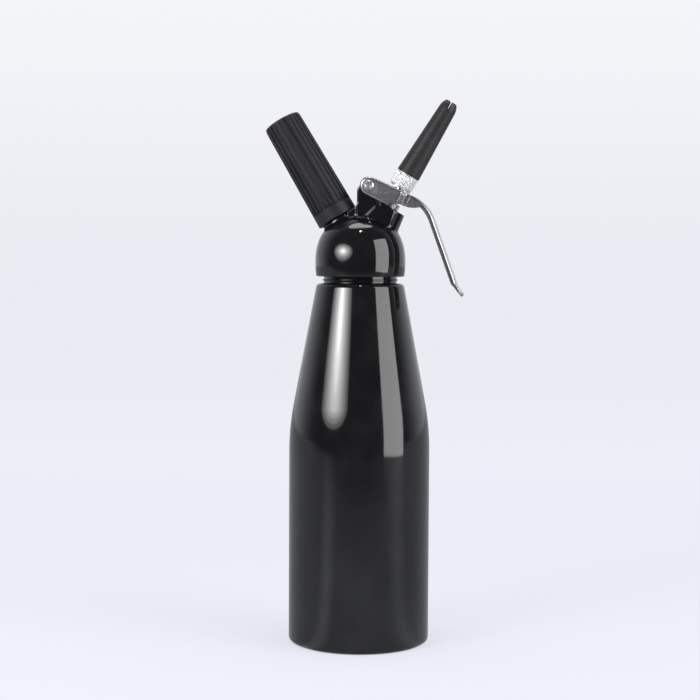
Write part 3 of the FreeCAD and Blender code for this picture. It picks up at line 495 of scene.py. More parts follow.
def rounded(corners: Sequence[Corner], support: float = 0.12) -> list[tuple[float, float]]:
    """Turns an outline with a rounding at each corner into points.

    Short straight pieces beside each rounding keep the flats flat when they are shaded smooth.

    Args:
        corners: radius, height and rounding of each corner, in order round a closed outline.
        support: length of the straight pieces.

    Returns:
        Radius and height of each point.
    """
    straight, coarse_step, fine_step, large = math.radians(178.0), 9.0, 0.7, 10.0
    points: list[tuple[float, float]] = []
    for k, (r, z, rounding) in enumerate(corners):
        here = Vector((r, z))
        before = Vector(corners[k - 1][:2]) - here
        after = Vector(corners[(k + 1) % len(corners)][:2]) - here
        angle = before.angle(after)
        if rounding <= 0.0 or r <= 0.0 or angle > straight:
            points.append((r, z))
            continue
        back, forth = before.normalized(), after.normalized()
        reach = rounding / math.tan(angle / 2.0)
        middle = here + (back + forth).normalized() * (rounding / math.sin(angle / 2.0))
        start, end = here + back * reach, here + forth * reach
        degrees = coarse_step if rounding < large else fine_step
        steps = max(3, math.ceil(math.degrees(math.pi - angle) / degrees))
        first = start - middle
        turn = first.angle_signed(end - middle)
        if before.length > reach + support * 2.0:
            points.append(tuple(start + back * support))
        for n in range(steps + 1):
            spoke = first.copy()
            spoke.rotate(Matrix.Rotation(-turn * n / steps, 2))
            points.append(tuple(middle + spoke))
        if after.length > reach + support * 2.0:
            points.append(tuple(end + forth * support))
    return points


def lathe(corners: Sequence[Corner], segments: int) -> bmesh.types.BMesh:
    """Turns a closed outline about Z into a closed surface.

    Args:
        corners: radius, height and rounding of each corner.
        segments: how many steps go round.

    Returns:
        The surface in millimetres.
    """
    mesh = bmesh.new()
    angles = [TAU * n / segments for n in range(segments)]
    rings: list[list[bmesh.types.BMVert]] = []
    for r, z in rounded(corners):
        circle = [(0.0, 0.0, z)] if r < 1e-6 else [(r * math.cos(a), r * math.sin(a), z) for a in angles]
        rings.append([mesh.verts.new(point) for point in circle])
    for k, ring in enumerate(rings):
        other = rings[(k + 1) % len(rings)]
        if len(ring) == 1 and len(other) == 1:
            continue
        for n in range(segments):
            m = (n + 1) % segments
            near = [ring[n % len(ring)], ring[m % len(ring)]]
            far = [other[m % len(other)], other[n % len(other)]]
            mesh.faces.new(list(dict.fromkeys(near + far)))
    bmesh.ops.recalc_face_normals(mesh, faces=mesh.faces)
    return mesh


def loft(outlines: Sequence[Sequence[Corner]]) -> bmesh.types.BMesh:
    """Joins closed outlines of as many points each into a closed surface.

    Args:
        outlines: the outlines' points, from one end to the other.

    Returns:
        The surface.
    """
    mesh = bmesh.new()
    rings = [[mesh.verts.new(point) for point in outline] for outline in outlines]
    for lower, upper in zip(rings, rings[1:]):
        for n in range(len(lower)):
            m = (n + 1) % len(lower)
            mesh.faces.new([lower[n], lower[m], upper[m], upper[n]])
    mesh.faces.new(rings[0])
    mesh.faces.new(rings[-1])
    bmesh.ops.recalc_face_normals(mesh, faces=mesh.faces)
    return mesh


def as_data(name: str, mesh: bmesh.types.BMesh) -> bpy.types.Mesh:
    """Turns a surface into mesh data of a name, and frees it."""
    data = bpy.data.meshes.new(name)
    mesh.to_mesh(data)
    mesh.free()
    return data


def placed(name: str, data: Any) -> bpy.types.Object:
    """Puts a new object of some data in the scene."""
    made = bpy.data.objects.new(name, data)
    bpy.context.scene.collection.objects.link(made)
    return made


def realise(host: bpy.types.Object, name: str) -> bpy.types.Object:
    """Bakes an object's modifiers into a plain mesh and removes the host.

    Args:
        host: the object with its modifiers.
        name: name of the result.

    Returns:
        A new object with a plain mesh.
    """
    bpy.context.view_layer.update()
    evaluated = host.evaluated_get(bpy.context.evaluated_depsgraph_get())
    data = bpy.data.meshes.new_from_object(evaluated)
    data.name = name
    made = placed(name, data)
    host.modifiers.clear()
    bpy.data.objects.remove(host)
    return made


def softened(node: str, name: str, voxel: float, passes: int) -> bpy.types.Object:
    """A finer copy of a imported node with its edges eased, as a polished or moulded part has them.

    Args:
        node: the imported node.
        name: the copy's name.
        voxel: grid step in millimetres.
        passes: rounds of smoothing.

    Returns:
        The copy.
    """
    mesh = bmesh.new()
    mesh.from_mesh(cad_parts[node].data)
    bmesh.ops.remove_doubles(mesh, verts=mesh.verts, dist=1e-6)
    host = placed(f"{name}_host", as_data(f"{name}_host", mesh))
    grid = host.modifiers.new("grid", "REMESH")
    grid.mode = "VOXEL"
    grid.voxel_size = voxel * MM
    grid.use_smooth_shade = True
    ease = host.modifiers.new("ease", "SMOOTH")
    ease.factor = 0.5
    ease.iterations = passes
    return realise(host, name)


# Repeats made by Geometry Nodes


class Grower:
    """A Geometry Nodes tree with named inputs, run once on an empty mesh."""

    def __init__(self, name: str) -> None:
        """Starts the tree with its output."""
        self.name = name
        self.tree = bpy.data.node_groups.new(name, "GeometryNodeTree")
        self.tree.interface.new_socket("Geometry", in_out="OUTPUT", socket_type="NodeSocketGeometry")
        self.sheet = Sheet(self.tree)
        self.entry = self.tree.nodes.new("NodeGroupInput")
        self.exit = self.tree.nodes.new("NodeGroupOutput")
        self.given: dict[str, Any] = {}

    def take(self, word: str, kind: str, value: Any) -> Wire:
        """Adds a named input.

        Args:
            word: the input's name.
            kind: the socket's type, such as Float.
            value: what the modifier sets it to.

        Returns:
            The input's wire.
        """
        item = self.tree.interface.new_socket(word, in_out="INPUT", socket_type=f"NodeSocket{kind}")
        self.given[item.identifier] = value
        return Wire(self.sheet, self.entry.outputs[item.identifier])

    def grow(self, shape: Wire, material: bpy.types.Material) -> bpy.types.Object:
        """Ends the tree, runs it and keeps the result as a plain mesh.

        Args:
            shape: the geometry to keep.
            material: its finish.

        Returns:
            The finished object.
        """
        finish = self.take("Finish", "Material", material)
        whole = self.sheet.node("GeometryNodeRealizeInstances", {"Geometry": shape})
        dressed = self.sheet.node("GeometryNodeSetMaterial", {"Geometry": whole, "Material": finish})
        self.sheet.feed(dressed, self.exit.inputs[0])
        host = placed(f"{self.name}_host", bpy.data.meshes.new(f"{self.name}_host"))
        modifier = host.modifiers.new(self.name, "NODES")
        modifier.node_group = self.tree
        for identifier, value in self.given.items():
            modifier[identifier] = value
        return realise(host, self.name)

    def ring(self, pattern: bpy.types.Object, count: int) -> Wire:
        """Copies of a pattern turned about Z.

        Args:
            pattern: the object to copy, already at its radius.
            count: how many.

        Returns:
            The instances.
        """
        sheet = self.sheet
        number = self.take("Count", "Int", count)
        source = self.take("Pattern", "Object", pattern)
        line = sheet.node("GeometryNodeMeshLine", {"Count": number, "Offset": (0.0, 0.0, 0.0)})
        shape = sheet.node("GeometryNodeObjectInfo", {"Object": source}, "Geometry")
        angle = sheet.node("GeometryNodeInputIndex") * TAU / number
        fed = {"Points": line, "Instance": shape, "Rotation": sheet.join(0.0, 0.0, angle)}
        return sheet.node("GeometryNodeInstanceOnPoints", fed)

    def screw_thread(self, radius: float, low: float, high: float, pitch: float, depth: float) -> Wire:
        """A right-handed helical ridge about Z, run out at both ends.

        Args:
            radius: radius at the ridge's root.
            low: where it starts.
            high: where it ends.
            pitch: rise in one turn.
            depth: how far it stands proud.

        Returns:
            The ridge's mesh.
        """
        sheet = self.sheet
        root = self.take("Root Radius", "Float", radius)
        rise = self.take("Rise", "Float", high - low)
        lead = self.take("Pitch", "Float", pitch)
        proud = self.take("Depth", "Float", depth)
        fed = {"Resolution": 72, "Rotations": rise / lead, "Start Radius": root, "End Radius": root}
        path = sheet.node("GeometryNodeCurveSpiral", {**fed, "Height": rise})
        section = sheet.node("GeometryNodeCurvePrimitiveCircle", {"Resolution": 10, "Radius": proud})
        along = sheet.node("GeometryNodeSplineParameter", out="Factor")
        thinnest = 0.06
        swell = along.step(0.0, 0.04) * (1.0 - along.step(0.96, 1.0)) * (1.0 - thinnest) + thinnest
        tapered = sheet.node("GeometryNodeSetCurveRadius", {"Curve": path, "Radius": swell})
        fed = {"Curve": tapered, "Profile Curve": section, "Fill Caps": True}
        ridge = sheet.node("GeometryNodeCurveToMesh", fed)
        return sheet.node("GeometryNodeTransform", {"Geometry": ridge, "Translation": (0.0, 0.0, low)})


@dataclass(frozen=True)
class Stock:
    """What pieces have in common that are made alike, and the ways to make them.

    Attributes:
        material: their finish.
        body: what they move with.
        slot: the record's finish that they stand for; not used.
        axis: the axis that they are drawn about.
    """

    material: bpy.types.Material
    body: Body
    slot: Slot
    axis: Placement = UPRIGHT

    def finish(self, piece: bpy.types.Object, *stands_for: str) -> None:
        """Gives a piece its finish and its body, and logs it.

        Args:
            piece: the object.
            stands_for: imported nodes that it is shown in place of.
        """
        piece.data.materials.clear()
        piece.data.materials.append(self.material)
        piece.data.shade_smooth()
        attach(piece, self.body.value)
        if stands_for:
            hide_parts(*stands_for)
        log.info("%s: %d faces, rides on %s", piece.name, len(piece.data.polygons), self.body.value)

    def turned(self, name: str, corners: Sequence[Corner], *stands_for: str, segments: int = 96) -> None:
        """Makes a piece from an outline turned about the axis.

        Args:
            name: the piece's name.
            corners: radius, height and rounding of each corner.
            stands_for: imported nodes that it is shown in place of.
            segments: how many steps go round.
        """
        mesh = lathe(corners, segments)
        bmesh.ops.transform(mesh, matrix=self.axis.matrix(), verts=mesh.verts)
        self.finish(placed(name, as_data(name, mesh)), *stands_for)

    def grown(self, grower: Grower, shape: Wire) -> None:
        """Makes a piece from a tree that draws it in millimetres about the axis.

        Args:
            grower: the tree.
            shape: the geometry to keep.
        """
        piece = grower.grow(shape, self.material)
        piece.data.transform(self.axis.matrix())
        piece.data.update()
        self.finish(piece)

    def thread(self, name: str, radius: float, low: float, high: float, pitch: float, depth: float) -> None:
        """Makes a screw thread, whose sizes are those of Grower.screw_thread."""
        grower = Grower(name)
        self.grown(grower, grower.screw_thread(radius, low, high, pitch, depth))

    def repeated(self, name: str, mesh: bmesh.types.BMesh, count: int) -> None:
        """Makes one piece of copies of a surface, turned about the axis.

        Args:
            name: the piece's name.
            mesh: the surface, which is freed.
            count: how many copies.
        """
        pattern = bpy.data.objects.new(f"{name}_pattern", as_data(f"{name}_pattern", mesh))
        grower = Grower(name)
        self.grown(grower, grower.ring(pattern, count))
        bpy.data.objects.remove(pattern)


# Sub-assemblies


@dataclass
class Bottle:
    """The drawn aluminium bottle with its rolled shoulder, neck bead and neck thread.

    Attributes:
        body_radius: outside radius of the straight body.
        cone_start: height where the cone begins.
        blend: radius that eases the body into the cone.
        shoulder_height: height of the shoulder's rim.
        shoulder_radius: radius of the shoulder's rim.
        wall: thickness of the shell.
        foot_rise: height of the hollow under the bottle.
        neck_radius: outside radius of the neck.
        neck_wall: thickness of the neck.
        neck_top: height of the neck's rim.
        bead_rise: from the shoulder's rim up to the bead.
        bead_width: height of the bead.
        bead_proud: how far the bead stands out of the neck.
        thread_low: where the neck thread starts.
        thread_high: where it ends.
        thread_pitch: its rise in one turn.
        thread_depth: how far it stands proud.
    """

    enamel: GlossEnamel = GlossEnamel("bottle_enamel", foot_band_height=0.9)
    body_radius: float = 42.47
    cone_start: float = 130.1
    blend: float = 150.0
    shoulder_height: float = 217.2
    shoulder_radius: float = 26.3
    wall: float = 1.6
    foot_rise: float = 3.5
    neck_radius: float = 22.1
    neck_wall: float = 2.1
    neck_top: float = 233.5
    bead_rise: float = 1.5
    bead_width: float = 0.9
    bead_proud: float = 0.7
    thread_low: float = 222.2
    thread_high: float = 231.8
    thread_pitch: float = 4.0
    thread_depth: float = 0.8

    def outline(self) -> list[Corner]:
        """The whole bottle, outside and inside."""
        wall, neck = self.wall, self.neck_radius
        body, shoulder, rim = self.body_radius, self.shoulder_radius, self.shoulder_height
        bore = neck - self.neck_wall
        floor = self.foot_rise + wall
        bead, proud = rim + self.bead_rise, neck + self.bead_proud
        foot = [(0.0, self.foot_rise, 0.0), (31.0, self.foot_rise, 3.0), (34.5, 0.0, 1.2), (body, 0.0, 3.0)]
        cone = [(body, self.cone_start, self.blend), (shoulder, rim, 3.0), (neck, rim, 0.6)]
        collar = [(neck, bead, 0.1), (proud, bead, 0.3), (proud, bead + self.bead_width, 0.3)]
        mouth = [(neck, bead + self.bead_width, 0.1), (neck, self.neck_top, 0.7), (bore, self.neck_top, 0.7)]
        inside = [
            (bore, rim - wall, 2.0),
            (shoulder - wall, rim - wall, 2.5),
            (body - wall, self.cone_start, self.blend),
            (body - wall, floor, 4.0),
            (0.0, floor, 0.0),
        ]
        return foot + cone + collar + mouth + inside

    def build(self) -> None:
        """Makes the bottle and its thread."""
        stock = Stock(self.enamel.make(), Body.BOTTLE, Slot.BLACK_GLOSS)
        stock.turned("bottle_shell", self.outline(), "bottle", segments=192)
        sizes = self.thread_low, self.thread_high, self.thread_pitch, self.thread_depth
        stock.thread("neck_thread", self.neck_radius, *sizes)


@dataclass(frozen=True)
class Plug:
    """A round form along an axis, either solid or bored out.

    Attributes:
        radius: its radius.
        low: its lower end along the axis, or None where it has none.
        high: its upper end, or None.
        rounding: rounding of the upper edge.
    """

    radius: float
    low: Optional[float] = None
    high: Optional[float] = None
    rounding: float = 0.0

    def distance(self, along: Wire, out: Wire) -> Wire:
        """Signed distance, roughly, to its surface.

        Args:
            along: height along the axis.
            out: distance from the axis.

        Returns:
            The distance, negative inside.
        """
        form = out - self.radius
        if self.high is not None and self.rounding:
            form = form.blend_most(along - self.high, self.rounding)
        elif self.high is not None:
            form = form.most(along - self.high)
        return form if self.low is None else form.most(self.low - along)


@dataclass
class Head:
    """The cast head: a dome that flows into the valve boss, the lever's ear and the charger boss.

    The casting is one implicit surface, so that every root has the fillet that a foundry gives it.

    Attributes:
        dome_radius: greatest radius of the dome.
        dome_middle: height of the dome's widest place.
        dome_rise: from there up to the crown.
        dome_power: how square the dome's shoulder is.
        skirt_draw: how slowly the skirt draws in below the widest place.
        skirt_low: height of the skirt's lower rim.
        boss_radius: radius of the valve boss at its top.
        boss_low: where the boss starts along its axis, inside the dome.
        boss_top: top of the valve boss along its axis.
        boss_draft: how much the boss widens downwards.
        flat_half: half of the width across the flats and the ear.
        ear_nose: radius of the ear about the pin.
        ear_low: height where the ear starts, inside the dome.
        ear_corner: place in X and Z of the ear's upper back corner.
        ear_slant: cosine and sine of the slant from that corner.
        stub: the charger boss.
        screw: the part of it that takes the holder.
        web_reach: how far the web between boss and ear reaches back.
        web_inset: how far the web stands in from the flats.
        holder_room: room for the holder's mouth.
        neck_bores: what is bored about the upright axis.
        valve_bores: what is bored about the valve's axis.
        charger_bores: what is bored about the charger's axis.
        fillet: blending width at the roots.
        grid: voxel size of the surface.
        probe: step that measures the field's slope.
        rounds: how often each point is drawn onto the exact shape.
        low_corner: lower corner of the field's box.
        high_corner: its upper corner.
    """

    enamel: GlossEnamel = GlossEnamel("head_enamel")
    thread_metal: TurnedMetal = TurnedMetal("boss_thread_metal", GREY_STEEL, CHARGER_AXIS)
    dome_radius: float = 27.2
    dome_middle: float = 228.9
    dome_rise: float = 28.9
    dome_power: float = 2.4
    skirt_draw: float = 84.0
    skirt_low: float = 221.2
    boss_radius: float = 10.8
    boss_low: float = 12.0
    boss_top: float = 33.4
    boss_draft: float = 0.15
    flat_half: float = 10.2
    ear_nose: float = 4.6
    ear_low: float = 248.0
    ear_corner: tuple[float, float] = (-1.1, 273.4)
    ear_slant: tuple[float, float] = (0.775, 0.632)
    stub: Plug = Plug(10.4, 10.0, 26.8, 0.8)
    screw: Plug = Plug(9.2, 10.0, 38.0, 1.0)
    web_reach: float = 7.0
    web_inset: float = 0.6
    holder_room: Plug = Plug(13.1, 26.7)
    neck_bores: tuple[Plug, ...] = (Plug(23.3, high=235.6), Plug(18.0, high=244.6))
    valve_bores: tuple[Plug, ...] = (Plug(6.5, 6.0, 17.0), Plug(3.4, 6.0), Plug(5.2, 19.6))
    charger_bores: tuple[Plug, ...] = (Plug(3.8, 12.0), Plug(5.0, 21.0), Plug(7.7, 27.0))
    fillet: float = 2.0
    grid: float = 0.45
    probe: float = 0.05
    rounds: int = 2
    low_corner: Corner = (-28.8, -28.0, 220.4)
    high_corner: Corner = (28.4, 28.0, 281.0)

    @staticmethod
    def about(x: Wire, y: Wire, z: Wire, axis: Placement) -> tuple[Wire, Wire]:
        """Height along a leaning axis and distance from it.

        Args:
            x: the point's X in millimetres.
            y: its Y.
            z: its Z.
            axis: the axis.

        Returns:
            Height along the axis, and radius about it.
        """
        lean = math.radians(axis.tilt)
        above = z - axis.base
        along = x * math.sin(lean) + above * math.cos(lean)
        off = x * math.cos(lean) - above * math.sin(lean)
        return along, (off * off + y * y).root()

    def dome(self, x: Wire, y: Wire, z: Wire) -> Wire:
        """Signed distance, roughly, to the dome and its skirt."""
        out = (x * x + y * y).root()
        above, power = z - self.dome_middle, self.dome_power
        up, down = above.most(0.0) / self.dome_rise, above.least(0.0)
        spread = ((out / self.dome_radius).power(power) + up.power(power)).power(1.0 / power)
        return (spread - 1.0) * self.dome_radius + down * down / self.skirt_draw

    def boss(self, x: Wire, y: Wire, z: Wire) -> Wire:
        """Signed distance, roughly, to the valve boss with its two flats."""
        up, out = self.about(x, y, z, VALVE_AXIS)
        taper = self.boss_radius + (self.boss_top - up) * self.boss_draft
        cone = (out - taper).blend_most(up - self.boss_top, width=1.2)
        return cone.blend_most(y.size() - self.flat_half, width=1.0).most(self.boss_low - up)

    def ear(self, x: Wire, y: Wire, z: Wire) -> Wire:
        """Signed distance, roughly, to the flat-sided ear that carries the lever's pin."""
        beyond, over = (x - PIN_AXIS.side).most(0.0), (z - PIN_AXIS.base).most(0.0)
        nose = (beyond * beyond + over * over).root() - self.ear_nose
        (back, top), (cosine, sine) = self.ear_corner, self.ear_slant
        slant = (z - top) * sine - (x - back) * cosine
        sides = nose.blend_most(slant, width=1.6).blend_most(back - x, width=1.2)
        return sides.blend_most(y.size() - self.flat_half, width=1.0).most(self.ear_low - z)

    def casting(self, x: Wire, y: Wire, z: Wire) -> Wire:
        """Signed distance, roughly, to the outside of the casting."""
        up, out = self.about(x, y, z, CHARGER_AXIS)
        web = (-self.web_reach - x).most(x).most(y.size() - self.flat_half + self.web_inset)
        web = web.most(up - self.stub.high)
        valve_side = self.boss(x, y, z).blend_least(self.ear(x, y, z), width=2.0)
        charger_side = self.stub.distance(up, out).blend_least(web, width=1.2)
        body = self.dome(x, y, z).blend_least(valve_side, self.fillet).blend_least(charger_side, self.fillet)
        body = body.blend_most(-self.holder_room.distance(up, out), width=0.4)
        body = body.blend_least(self.screw.distance(up, out), width=0.5)
        return body.blend_most(self.skirt_low - z, width=1.2)

    def hollows(self, x: Wire, y: Wire, z: Wire) -> Wire:
        """Signed distance, roughly, to everything that is bored out."""
        bored = (
            (self.neck_bores, (z, (x * x + y * y).root())),
            (self.valve_bores, self.about(x, y, z, VALVE_AXIS)),
            (self.charger_bores, self.about(x, y, z, CHARGER_AXIS)),
        )
        return reduce(Wire.least, [bore.distance(*place) for bores, place in bored for bore in bores])

    def field_group(self) -> bpy.types.NodeTree:
        """A node group from a place in metres to the distance from the casting in millimetres."""
        tree = bpy.data.node_groups.new("casting_field", "GeometryNodeTree")
        tree.interface.new_socket("Place", in_out="INPUT", socket_type="NodeSocketVector")
        tree.interface.new_socket("Distance", in_out="OUTPUT", socket_type="NodeSocketFloat")
        sheet = Sheet(tree)
        entry = tree.nodes.new("NodeGroupInput")
        x, y, z = (part / MM for part in sheet.parts(Wire(sheet, entry.outputs[0])))
        distance = self.casting(x, y, z).blend_most(-self.hollows(x, y, z), width=0.5)
        sheet.feed(distance, tree.nodes.new("NodeGroupOutput").inputs[0])
        return tree

    def surface(self, material: bpy.types.Material) -> bpy.types.Object:
        """Grows the casting's surface and draws each of its points onto the exact shape.

        Args:
            material: its finish.

        Returns:
            The casting.
        """
        group = self.field_group()
        grower = Grower("head_casting")
        sheet = grower.sheet
        low = grower.take("Low Corner", "Vector", tuple(c * MM for c in self.low_corner))
        high = grower.take("High Corner", "Vector", tuple(c * MM for c in self.high_corner))
        step = grower.take("Voxel", "Float", self.grid * MM)
        span = sheet.parts(sheet.vector("SUBTRACT", high, low))
        place = sheet.node("GeometryNodeInputPosition")

        def distance(where: Wire) -> Wire:
            """The casting's field at a place."""
            return sheet.node("GeometryNodeGroup", [where], node_tree=group)

        fed = {"Density": -distance(place), "Background": -10.0, "Min": low, "Max": high}
        fed.update({f"Resolution {axis}": (part / step).math("ROUND") for axis, part in zip("XYZ", span)})
        volume = sheet.node("GeometryNodeVolumeCube", fed)
        skin = sheet.node("GeometryNodeVolumeToMesh", {"Volume": volume, "Threshold": 0.0})
        reach, flattest = self.probe * MM, 1e4
        for _round in range(self.rounds):
            here = distance(place)
            shifts = [(reach, 0.0, 0.0), (0.0, reach, 0.0), (0.0, 0.0, reach)]
            slopes = [(distance(sheet.vector("ADD", place, shift)) - here) / reach for shift in shifts]
            x, y, z = slopes
            steep = (x * x + y * y + z * z).most(flattest)
            fed = {0: sheet.join(x, y, z), "Scale": -here / steep}
            way = sheet.node("ShaderNodeVectorMath", fed, operation="SCALE")
            skin = sheet.node("GeometryNodeSetPosition", {"Geometry": skin, "Offset": way})
        return grower.grow(skin, material)

    def build(self) -> None:
        """Makes the head and the screw thread for the charger holder."""
        enamel = self.enamel.make()
        Stock(enamel, Body.HEAD, Slot.BLACK_GLOSS).finish(self.surface(enamel), "head")
        steel = Stock(self.thread_metal.make(), Body.HEAD, Slot.STEEL, CHARGER_AXIS)
        steel.thread("charger_boss_thread", radius=9.15, low=28.6, high=37.0, pitch=1.6, depth=0.5)


@dataclass
class ChargerHolder:
    """The moulded holder with its grip ribs, a plain band at its mouth and a low crowned cap.

    Attributes:
        mouth: lower end along the charger's axis.
        end: top of the side wall.
        mouth_radius: outside radius at the mouth.
        end_radius: outside radius at the end.
        band: length of the plain band.
        cap_rise: height of the crowned cap.
        insert_radius: radius of the seat for the metal ring.
        insert_end: where that seat ends.
        room_radius: radius of the room for the charger.
        room_end: where that room ends.
        rib_count: ribs around it.
        rib_width: width of a rib.
        rib_depth: how far a rib stands proud.
    """

    plastic: Moulding = Moulding("holder_plastic")
    metal: TurnedMetal = TurnedMetal("insert_metal", (0.8, 0.8, 0.82), CHARGER_AXIS)
    mouth: float = 27.0
    end: float = 94.3
    mouth_radius: float = 12.68
    end_radius: float = 11.58
    band: float = 7.3
    cap_rise: float = 1.3
    insert_radius: float = 10.65
    insert_end: float = 38.4
    room_radius: float = 9.3
    room_end: float = 93.1
    rib_count: int = 22
    rib_width: float = 1.75
    rib_depth: float = 0.75

    def slope(self) -> float:
        """How much the radius shrinks in a millimetre along the axis."""
        return (self.mouth_radius - self.end_radius) / (self.end - self.mouth)

    def outline(self) -> list[Corner]:
        """The holder without its ribs."""
        band_end = self.mouth + self.band
        band_radius = self.mouth_radius - self.slope() * self.band
        root_high, top = self.end_radius - self.rib_depth, self.end + self.cap_rise
        angles = [math.radians(degrees) for degrees in (25.0, 40.0, 55.0, 70.0, 80.0)]
        cap = [(root_high * math.cos(a), self.end + self.cap_rise * math.sin(a), 0.0) for a in angles]
        return [
            (self.insert_radius, self.mouth, 0.2),
            (self.mouth_radius, self.mouth, 0.5),
            (band_radius, band_end, 0.45),
            (band_radius - self.rib_depth, band_end, 0.3),
            (root_high, self.end, 1.2),
            *cap,
            (0.0, top, 0.0),
            (0.0, self.room_end, 0.0),
            (self.room_radius, self.room_end, 0.5),
            (self.room_radius, self.insert_end, 0.1),
            (self.insert_radius, self.insert_end, 0.1),
        ]

    def rib(self) -> bmesh.types.BMesh:
        """One rib with rounded shoulders and a run-out at its far end."""
        full_heights = (34.0, 40.0, 56.0, 72.0, 88.0, 91.6)
        run_out = [(92.8, 0.93), (93.6, 0.75), (94.2, 0.42), (94.5, 0.0)]
        half, depth = self.rib_width / 2.0, self.rib_depth
        flank = [(half + 0.14, -0.35), (half + 0.05, 0.1), (half, 0.62)]
        flank += [(half * 0.78, 0.9), (half * 0.42, 1.0)]
        section = [(-across, up) for across, up in flank] + flank[::-1]
        outlines = []
        for height, fullness in [(height, 1.0) for height in full_heights] + run_out:
            root = self.mouth_radius - self.slope() * (height - self.mouth) - depth
            drop = (1.0 - fullness) * depth
            outlines.append([(root + up * depth - drop, across, height) for across, up in section])
        return loft(outlines)

    def build(self) -> None:
        """Makes the holder, its ribs and the metal ring in its mouth."""
        stock = Stock(self.plastic.make(), Body.HOLDER, Slot.DARK_PLASTIC, CHARGER_AXIS)
        stock.turned("holder_moulding", self.outline(), "charger_holder", segments=132)
        stock.repeated("holder_ribs", self.rib(), self.rib_count)
        outer, inner, low, high = self.insert_radius, 9.75, 27.6, 36.0
        insert = [(inner, low, 0.2), (outer, low, 0.1), (outer, high, 0.1), (inner, high, 0.2)]
        metal = Stock(self.metal.make(), Body.HOLDER, Slot.BARE_ALUMINIUM, CHARGER_AXIS)
        metal.turned("holder_insert_ring", insert, "holder_insert")


@dataclass
class GasCharger:
    """The small steel gas charger inside the holder.

    Attributes:
        foot: its lower end along the charger's axis.
        end: its upper end.
        radius: its greatest radius.
        neck: radius of its neck.
        dish: how far its seal lies inside the neck.
    """

    steel: TurnedMetal = TurnedMetal("charger_steel", (0.56, 0.57, 0.58), CHARGER_AXIS, gloss=0.16)
    foot: float = 28.0
    end: float = 93.0
    radius: float = 9.0
    neck: float = 4.4
    dish: float = 0.25

    def build(self) -> None:
        """Makes the charger's rounded shell."""
        seal, foot = self.foot + self.dish, self.foot
        shell = [
            (0.0, seal, 0.0), (3.4, seal, 0.0), (self.neck, foot, 0.5), (self.neck, foot + 6.2, 2.0),
            (self.radius, foot + 14.5, 6.0), (self.radius, self.end, 5.5), (0.0, self.end, 0.0),
        ]
        stock = Stock(self.steel.make(), Body.CHARGER, Slot.STEEL, CHARGER_AXIS)
        stock.turned("charger_shell", shell, "gas_charger")


